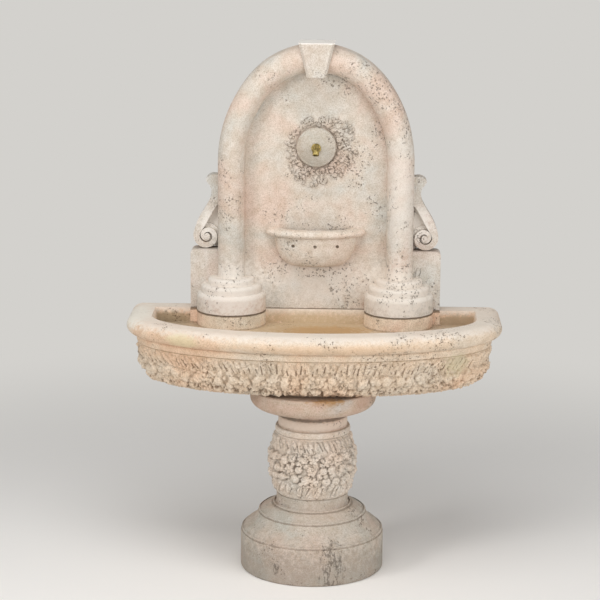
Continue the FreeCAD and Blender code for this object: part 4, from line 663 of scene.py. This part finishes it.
def metal(name, bright, dull, tarnish, roughness, lines, streak=(1.0, 1.0, 1.0)):
    """Turned, drawn or plated metal: bright where it is worn, dull in clouds, with fine lines from the tool.

    Lines are per metre across the streak's stretch, which draws them out along the length.
    """
    material, tree, shader, place = blank(name)
    along = add(tree, "VectorMath", {"operation": "MULTIPLY", 1: streak}, {0: place}).outputs["Vector"]
    # Tarnish gathers in clouds of about 8 mm
    cloud = add(tree, "TexNoise", {"Scale": 130.0, "Detail": 4.0, "Roughness": 0.6},
                {"Vector": place}).outputs["Fac"]
    line = add(tree, "TexNoise", {"Scale": lines, "Detail": 2.0, "Roughness": 0.5},
               {"Vector": along}).outputs["Fac"]
    settings = {"From Min": 0.62 - 0.3 * tarnish, "From Max": 0.72, "interpolation_type": "SMOOTHSTEP"}
    marked = add(tree, "MapRange", settings, {"Value": cloud}).outputs["Result"]
    weather(tree, shader, marked, bright, dull, roughness, roughness + 0.3)
    bump = add(tree, "Bump", {"Strength": 0.25, "Distance": 0.0002}, {"Height": line}).outputs["Normal"]
    tree.links.new(bump, shader.inputs["Normal"])
    shader.inputs["Metallic"].default_value = 1.0
    return material


def moulded(name, code, worn, roughness, ior, grain):
    """Moulded plastic or rubber: even colour, fine grain of the mould, paler scuffs and a little dust."""
    material, tree, shader, place = blank(name)
    # Mould grain of that many millimetres, drawn no finer than 0.6 so that it shows, and scuffs of 6 mm
    finest = 0.6
    fine = add(tree, "TexNoise", {"Scale": 1000.0 / max(grain, finest), "Detail": 2.0, "Roughness": 0.6},
               {"Vector": place}).outputs["Fac"]
    scuff = add(tree, "TexNoise", {"Scale": 160.0, "Detail": 5.0, "Roughness": 0.7, "Distortion": 0.5},
                {"Vector": place}).outputs["Fac"]
    rubbed = add(tree, "MapRange", {"From Min": 0.52, "From Max": 0.78, "To Max": 0.6},
                 {"Value": scuff}).outputs["Result"]
    weather(tree, shader, rubbed, code, worn, roughness, roughness + 0.2)
    bump = add(tree, "Bump", {"Strength": 0.3, "Distance": 0.0002}, {"Height": fine}).outputs["Normal"]
    tree.links.new(bump, shader.inputs["Normal"])
    shader.inputs["IOR"].default_value = ior
    return material


# Turned brass shows fine rings from the tool and dulls to brown where water dries on it
turned_brass = metal("brass, turned", "#d9b766", "#8a6d3a", 0.5, 0.28, 900.0)
# Moulded rubber is nearly black, and greys where it is handled
black_rubber = moulded("rubber, moulded", "#1d1c1b", "#3c3a37", 0.62, 1.52, 0.8)
dress(turned_brass, "drain_flange", "drain_locknut")
dress(black_rubber, "drain_gasket", "drain_stopper")


# Pump: a small submersible one on suction cups on the bowl's floor, its motor cast in resin inside a
# moulded housing. The screen pulls off its volute, and a dial on the screen sets the flow.
dress(black_rubber, "rear_bush", "cord_gland", "suction_cups")
# Moulded ABS in charcoal, with a fine spark-eroded grain that takes off its shine
charcoal_abs = moulded("ABS, moulded charcoal", "#2a2c2e", "#54565a", 0.46, 1.53, 0.7)
dress(charcoal_abs, "pump_housing", "volute_cover", "inlet_cover")
# The dial is moulded in blue ABS, so that it is found under water
blue_abs = moulded("ABS, moulded blue", "#2b4a78", "#5e789c", 0.42, 1.53, 0.7)
dress(blue_abs, "flow_dial")
# The rotor's nylon is milky, smooth from its mould
white_nylon = moulded("nylon, moulded natural", "#d9d5c9", "#c2bba9", 0.40, 1.53, 0.9)
dress(white_nylon, "pump_rotor")
# Ground alumina is white and close-grained, almost polished
ground_ceramic = moulded("alumina, ground", "#eeebe4", "#dad5ca", 0.22, 1.76, 0.6)
dress(ground_ceramic, "rotor_shaft")


# Water line: a vinyl hose from the pump goes through a grommet in the back ledge to an elbow, and a tube
# climbs from there in a chase in the panel's back to the brass elbow behind the spout. Clamps hold both.
def vinyl(name, code, cloudy):
    """Extruded vinyl tube: half clear, smooth, cloudy where lime has dried inside."""
    material, tree, shader, place = blank(name)
    # Lime dries in streaks of about 15 mm
    lime = add(tree, "TexNoise", {"Scale": 65.0, "Detail": 4.0, "Roughness": 0.65},
               {"Vector": place}).outputs["Fac"]
    amount = add(tree, "MapRange", {"From Min": 0.40, "From Max": 0.70}, {"Value": lime}).outputs["Result"]
    weather(tree, shader, amount, code, cloudy, 0.12, 0.35)
    shader.inputs["IOR"].default_value = 1.53
    shader.inputs["Transmission Weight"].default_value = 0.45
    return material


# Extruded vinyl is milky and half clear, and glossy where no lime has dried
clear_vinyl = vinyl("vinyl, extruded clear", "#dfe6e4", "#c9cdc6")
# Filled nylon is charcoal and a little glossy, paler where it is scuffed
black_nylon = moulded("nylon, moulded black", "#222325", "#4d4f52", 0.40, 1.53, 0.7)
# Brushed stainless shows lines round the band
brushed_steel = metal("stainless steel, brushed", "#c3c4c4", "#8f8f8d", 0.25, 0.30, 700.0, (1.0, 0.15, 1.0))
dress(clear_vinyl, "pump_hose", "riser_tube")
dress(black_rubber, "hose_grommet")
dress(brushed_steel, "hose_clamps")
dress(turned_brass, "upper_elbow")
dress(black_nylon, "lower_elbow")


# Risers: two low blocks of cast stone in the basin's warm mix, poured open-topped in a timber form.
# They are bedded in mortar on the basin's back ledge and carry the arch's feet.

# The tan wash is the basin's, painted paler as painted light in the drums' shade, and dirt lies along the
# joints above and below
riser_stone = cast_stone(
    "cast stone, tan wash", 5.2, "#f0dfcb", "#efd4bf", "#e6dccb", "#776450", 1.1,
    marks=[level(0.730, 0.004, "#6f5d49", 0.8, 0.15, 2.0),
           level(0.688, 0.006, "#8c7355", 0.5, 0.15, 2.0)])
dress(riser_stone, "riser_left", "riser_right")


# Back panel: an arched slab with a half-round moulding that stands on turned bases, one casting in cast
# stone. Its foot is bedded on the ledge, and two plates behind hold it to the wall.

# The pale wash is painted whiter on the bases; painted light whitens the right roll and the face under the
# shelf bowl, which lies in that bowl's shade
panel_stone = cast_stone(
    "cast stone, pale wash", 0.0, "#dad0c5", "#dcc9bc", "#d1cec7", "#7b6f63", 1.3,
    marks=[((-0.245, 0.10, 0.80), (0.17, 0.20, 0.11), "#e9e2d9", 0.75),
           ((0.245, 0.10, 0.80), (0.17, 0.20, 0.11), "#eae1d6", 0.75),
           ((0.0, 0.16, 0.82), (0.19, 0.05, 0.10), "#e6ded5", 0.4),
           ((0.245, 0.13, 1.08), (0.060, 0.10, 0.26), "#e8e1d9", 0.4),
           level(0.730, 0.0045, "#6f6150", 0.85, 0.15, 2.0)],
    pitted=[((-0.25, 0.12, 1.04), (0.055, 0.10, 0.12), 0.13),
            ((-0.245, 0.07, 0.79), (0.11, 0.13, 0.06), 0.09),
            ((0.245, 0.07, 0.79), (0.11, 0.13, 0.06), 0.05),
            ((0.01, 0.164, 0.86), (0.09, 0.05, 0.05), 0.14),
            ((-0.02, 0.164, 1.04), (0.06, 0.05, 0.04), 0.12),
            ((0.11, 0.13, 1.45), (0.10, 0.10, 0.08), 0.03),
            ((0.19, 0.164, 1.00), (0.05, 0.04, 0.12), -0.10)])
dress(panel_stone, "back_panel")


# Keystone: a tapered block of cast stone, poured with its face down.
# It is let into the crown of the arch, stands proud of the moulding, and is set in mortar.

# The white wash is a shade whiter than the panel's, and painted light makes its top face whiter still
key_stone = cast_stone(
    "cast stone, white wash", 6.4, "#d9d2c9", "#d6ccc2", "#d2d0cb", "#8a7d70", 0.9,
    marks=[level(1.514, 0.004, "#f4f0ea", 0.75, 0.15, 2.0)])
dress(key_stone, "keystone")


# Wings and scrolls: a block of cast stone beside each foot of the arch and a scroll that stands on it,
# each poured flat in its own rubber mould. They are bedded in mortar against the panel's edge.

# The cool wash is greyer than the panel's. Painted light makes the scrolls' webs, which lie in shade, nearly
# white
wing_stone = cast_stone(
    "cast stone, cool wash", 7.7, "#dcd5cd", "#dccfc6", "#d2d1cc", "#75695c", 1.1,
    marks=[((0.30, 0.20, 0.98), (0.055, 0.10, 0.07), "#eee8e0", 0.8),
           ((-0.30, 0.20, 0.98), (0.055, 0.10, 0.07), "#eee8e0", 0.8),
           level(0.906, 0.003, "#75685a", 0.25, 0.19, 2.0),
           level(0.730, 0.004, "#6f6150", 0.8, 0.15, 2.0)],
    cracks=[((0.300, 0.164, 0.836), (0.030, 0.04, 0.030))])
dress(wing_stone, "wing_left", "wing_right", "scroll_left", "scroll_right")


# Shelf bowl: a small spill bowl of cast stone with a rolled rim and three drip holes cored in its front.
# It is slush-cast hollow and set in mortar on the niche's face.

# The blush wash is even and clean, because water runs over it
shelf_stone = cast_stone("cast stone, blush wash", 8.1, "#e6dbcf", "#e6d3c5", "#dcd7ce", "#75685a", 1.0)
dress(shelf_stone, "shelf_bowl")


# Boss and wreath: a domed boss round the spout, with sprays of leaves and fruit round it, cast with the
# panel's face. The sprays are loose at the top and full on the right; painted shadow darkens the ring
# between.

# The ash wash is the greyest and has hardly any pits, as the dome was rubbed smooth
boss_stone = cast_stone("cast stone, ash wash", 9.2, "#c6c0b6", "#c8beb2", "#c0c0ba", "#6f665b", 0.2)
dress(boss_stone, "spout_boss")


def wreath_carving():
    """Relief on the niche face round the boss; only what stands proud of the face is kept."""
    face_y, centre_z, inner, size = 164.0, 1210.0, 60.0, 150.0
    # The blank lies under the niche's face, and a low floor joins the sprays to the boss
    sunk, overlap, floor_reach, floor_height = 1.0, 2.0, 6.5, 0.6
    field = relief_field(2 * size, 2 * size, 1.3, False)
    field["depth"] -= sunk
    rng = np.random.default_rng(3)
    # How far the sprays reach from the middle, by degrees from the right and up
    sprays = {0: 126, 20: 129, 40: 120, 60: 114, 75: 106, 84: 74, 96: 70, 104: 102, 115: 100, 128: 84,
              150: 94, 180: 98, 200: 100, 225: 106, 245: 122, 262: 121, 285: 116, 300: 117, 320: 120,
              340: 126}
    degrees, reach = list(sprays), list(sprays.values())

    def limit(angle):
        """How far the sprays reach in that direction."""
        return np.interp(math.degrees(angle) % 360, degrees + [360], reach + [reach[0]])

    def thin(angle):
        """Faint on the left, full on the right and below."""
        return 0.45 if 120 < math.degrees(angle) % 360 < 215 else 1.0

    leaves, small, gaps, drilled, dark_at = 125, 70, 170, 1.5, 1.5
    for layer in range(3):
        for k in range(leaves):
            angle = 2 * math.pi * (k + rng.uniform(0, 1)) / leaves
            share = rng.uniform(0, 1)
            if rng.random() > 0.55 + 0.45 * thin(angle):
                continue
            length = rng.uniform(12, 22)
            start = inner - overlap + share * max(2.0, limit(angle) - inner - 0.8 * length)
            form = leaf(angle + rng.uniform(-0.9, 0.9), length, rng.uniform(3.6, 5.6),
                        (5.0 + 1.3 * layer) * (0.45 + 0.55 * thin(angle)), rng.uniform(-0.4, 0.4), 3)
            lay(field, *away(size, size, angle, start), 34, form, 0.5 + layer * thin(angle), 1.6)
    for _ in range(small):
        angle = rng.uniform(0, 2 * math.pi)
        far = rng.uniform(inner + 5, max(inner + 7, limit(angle) - 8))
        radius = rng.uniform(2.2, 3.8)
        form = flower(radius * 2.0, 5.5, 5, rng.uniform(0, 1)) if rng.random() < 0.3 else fruit(radius, 4.5)
        lay(field, *away(size, size, angle, far), 14, form, 3.0 * thin(angle), 1.8)
    # Fine gaps of painted shade lie between the leaves
    for _ in range(gaps):
        angle = rng.uniform(0, 2 * math.pi)
        far = rng.uniform(inner + 3, max(inner + 5, limit(angle) - 5))
        if rng.random() < thin(angle):
            bore(field, *away(size, size, angle, far), rng.uniform(1.8, 3.0))
    depth = soften(field["depth"], False)
    depth = np.where(field["depth"] > 0.5, depth - drilled * field["dark"], depth)
    rows, columns = depth.shape
    x, z = np.meshgrid(np.linspace(-size, size, columns), np.linspace(-size, size, rows))
    far = np.hypot(x, z)
    # Wash greys the sprays a little all over; painted shade fills their gaps, and a painted shadow is darkest
    # in the ring round the boss, most on its right
    ring_width = 7.0
    ring_shadow = np.clip(1 - (far - inner) / ring_width, 0, 1) * (0.75 + 0.25 * x / np.maximum(far, 1))
    shade_and_wash = np.maximum(recess(depth, False, dark_at), np.clip(0.16 * depth, 0, 0.16))
    shade_and_wash = np.maximum(np.maximum(shade_and_wash, 0.8 * field["dark"]), ring_shadow)
    depth = np.where(far < inner + floor_reach, np.maximum(depth, floor_height), depth)
    depth = np.where(far < inner - overlap, -sunk, depth)
    points = np.stack([x, face_y - depth, centre_z + z], axis=-1)
    shown = (depth > 0.1) & (far >= inner - overlap)
    return relief_piece("wreath_carving", points, False, panel_stone, shade_and_wash, shown)


wreath = wreath_carving()
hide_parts("foliage_wreath")


# Spout: a short bent pipe of cast brass with a collar, screwed through the boss on a rubber washer.
# Cast brass goes brown in clouds, where it stays wet and is never rubbed, and keeps its yellow between them.
aged_brass = metal("brass, cast and aged", "#d3bf7c", "#5e5334", 1.3, 0.42, 420.0)
dress(aged_brass, "spout")
dress(black_rubber, "spout_washer")


# Hangers: two pressed keyhole plates, zinc plated, let into the panel's back and held by screws.
# Plated zinc is pale grey, and dulls in patches a few millimetres across.
zinc_plate = metal("steel, zinc plated", "#b9bcbe", "#85898c", 0.7, 0.42, 300.0)
dress(zinc_plate, "hanger_plates", "hanger_screws")


# Studio: a matt floor of pale paper under a soft key from the left, a broad fill from the right, and
# softer light from the front and from above. Far out, the floor and the world turn to one pale tone.
def seen(tree):
    """1 for a ray from the camera, off a gloss or through clear vinyl, and 0 for light on the piece."""
    path = add(tree, "LightPath").outputs
    first = add(tree, "Math", {"operation": "MAXIMUM"},
                {0: path["Is Camera Ray"], 1: path["Is Glossy Ray"]}).outputs[0]
    return add(tree, "Math", {"operation": "MAXIMUM"}, {0: first, 1: path["Is Transmission Ray"]}).outputs[0]


def floor(name, code, distance, radius):
    """Round paper floor, which turns to the distant tone from 0.8 m out to 2.8 m."""
    sides = 96
    turns = [2 * math.pi * k / sides for k in range(sides)]
    mesh = bpy.data.meshes.new(name)
    mesh.from_pydata([(radius * math.cos(turn), radius * math.sin(turn), 0.0) for turn in turns], [],
                     [tuple(range(sides))])
    # Matt paper is even, with next to no gloss
    material, tree, shader, place = blank("paper, matt")
    shader.inputs["Base Color"].default_value = linear(code)
    shader.inputs["Roughness"].default_value = 0.9
    shader.inputs["Specular IOR Level"].default_value = 0.1
    far = add(tree, "VectorMath", {"operation": "LENGTH"}, {0: place}).outputs["Value"]
    far = add(tree, "MapRange", {"From Min": 0.8, "From Max": 2.8, "interpolation_type": "SMOOTHSTEP"},
              {"Value": far}).outputs["Result"]
    far = add(tree, "Math", {"operation": "MULTIPLY"}, {0: far, 1: seen(tree)}).outputs[0]
    glow = add(tree, "Emission", {"Color": linear(distance), "Strength": 1.0}).outputs["Emission"]
    mixed = add(tree, "MixShader", {}, {0: far, 1: shader.outputs["BSDF"], 2: glow}).outputs["Shader"]
    tree.links.new(mixed, tree.nodes["Material Output"].inputs["Surface"])
    mesh.materials.append(material)
    return put(name, mesh)


PALE_DISTANCE = "#d3d1cd"
floor("studio_floor", "#f8f6f3", PALE_DISTANCE, 45.0)


def lamp(name, place, target, width, height, power, code):
    """Rectangular soft light aimed at a point."""
    data = bpy.data.lights.new(name, "AREA")
    data.shape = "RECTANGLE"
    data.size, data.size_y = width, height
    data.energy = power
    data.color = linear(code)[:3]
    light = put(name, data)
    light.location = place
    light.rotation_euler = (Vector(target) - Vector(place)).to_track_quat("-Z", "Y").to_euler()


lamp("key", (-2.0, -1.65, 1.75), (0.0, 0.1, 1.1), 0.7, 0.9, 22.0, "#fffdfa")
lamp("fill", (2.4, -2.3, 1.5), (0.0, 0.1, 1.0), 2.4, 1.8, 41.0, "#fffdfb")
lamp("front", (0.2, -3.8, 1.3), (0.0, 0.1, 1.0), 2.4, 1.2, 19.0, "#ffffff")
lamp("top", (-0.2, -1.1, 3.1), (0.0, 0.0, 0.8), 2.2, 1.6, 32.0, "#ffffff")

# The world lights the piece softly, and what is seen of it is the pale tone
world = bpy.data.worlds.new("studio")
bpy.context.scene.world = world
world.use_nodes = True
sky = world.node_tree
soft = add(sky, "Background", {"Color": linear("#f6f6f6"), "Strength": 0.34}).outputs["Background"]
shown = add(sky, "Background", {"Color": linear(PALE_DISTANCE), "Strength": 1.0}).outputs["Background"]
mixed = add(sky, "MixShader", {}, {0: seen(sky), 1: soft, 2: shown}).outputs["Shader"]
sky.links.new(mixed, sky.nodes["World Output"].inputs["Surface"])

# The camera has a long lens, stands 5.6 m in front and higher than the keystone, and looks down
lens = bpy.data.cameras.new("camera")
lens.sensor_width = 36.0
lens.lens = 120.0
lens.clip_start, lens.clip_end = 0.1, 60.0
camera = put("camera", lens)
eye = (0.1311, -5.5733, 2.0209)
pitch, yaw, roll = math.radians(12.42), math.radians(1.75), math.radians(0.40)
camera.matrix_world = (Matrix.Translation(eye) @ Matrix.Rotation(yaw, 4, "Z")
                       @ Matrix.Rotation(math.pi / 2 - pitch, 4, "X") @ Matrix.Rotation(roll, 4, "Z"))
bpy.context.scene.camera = camera
bpy.context.scene.view_settings.view_transform = "Standard"
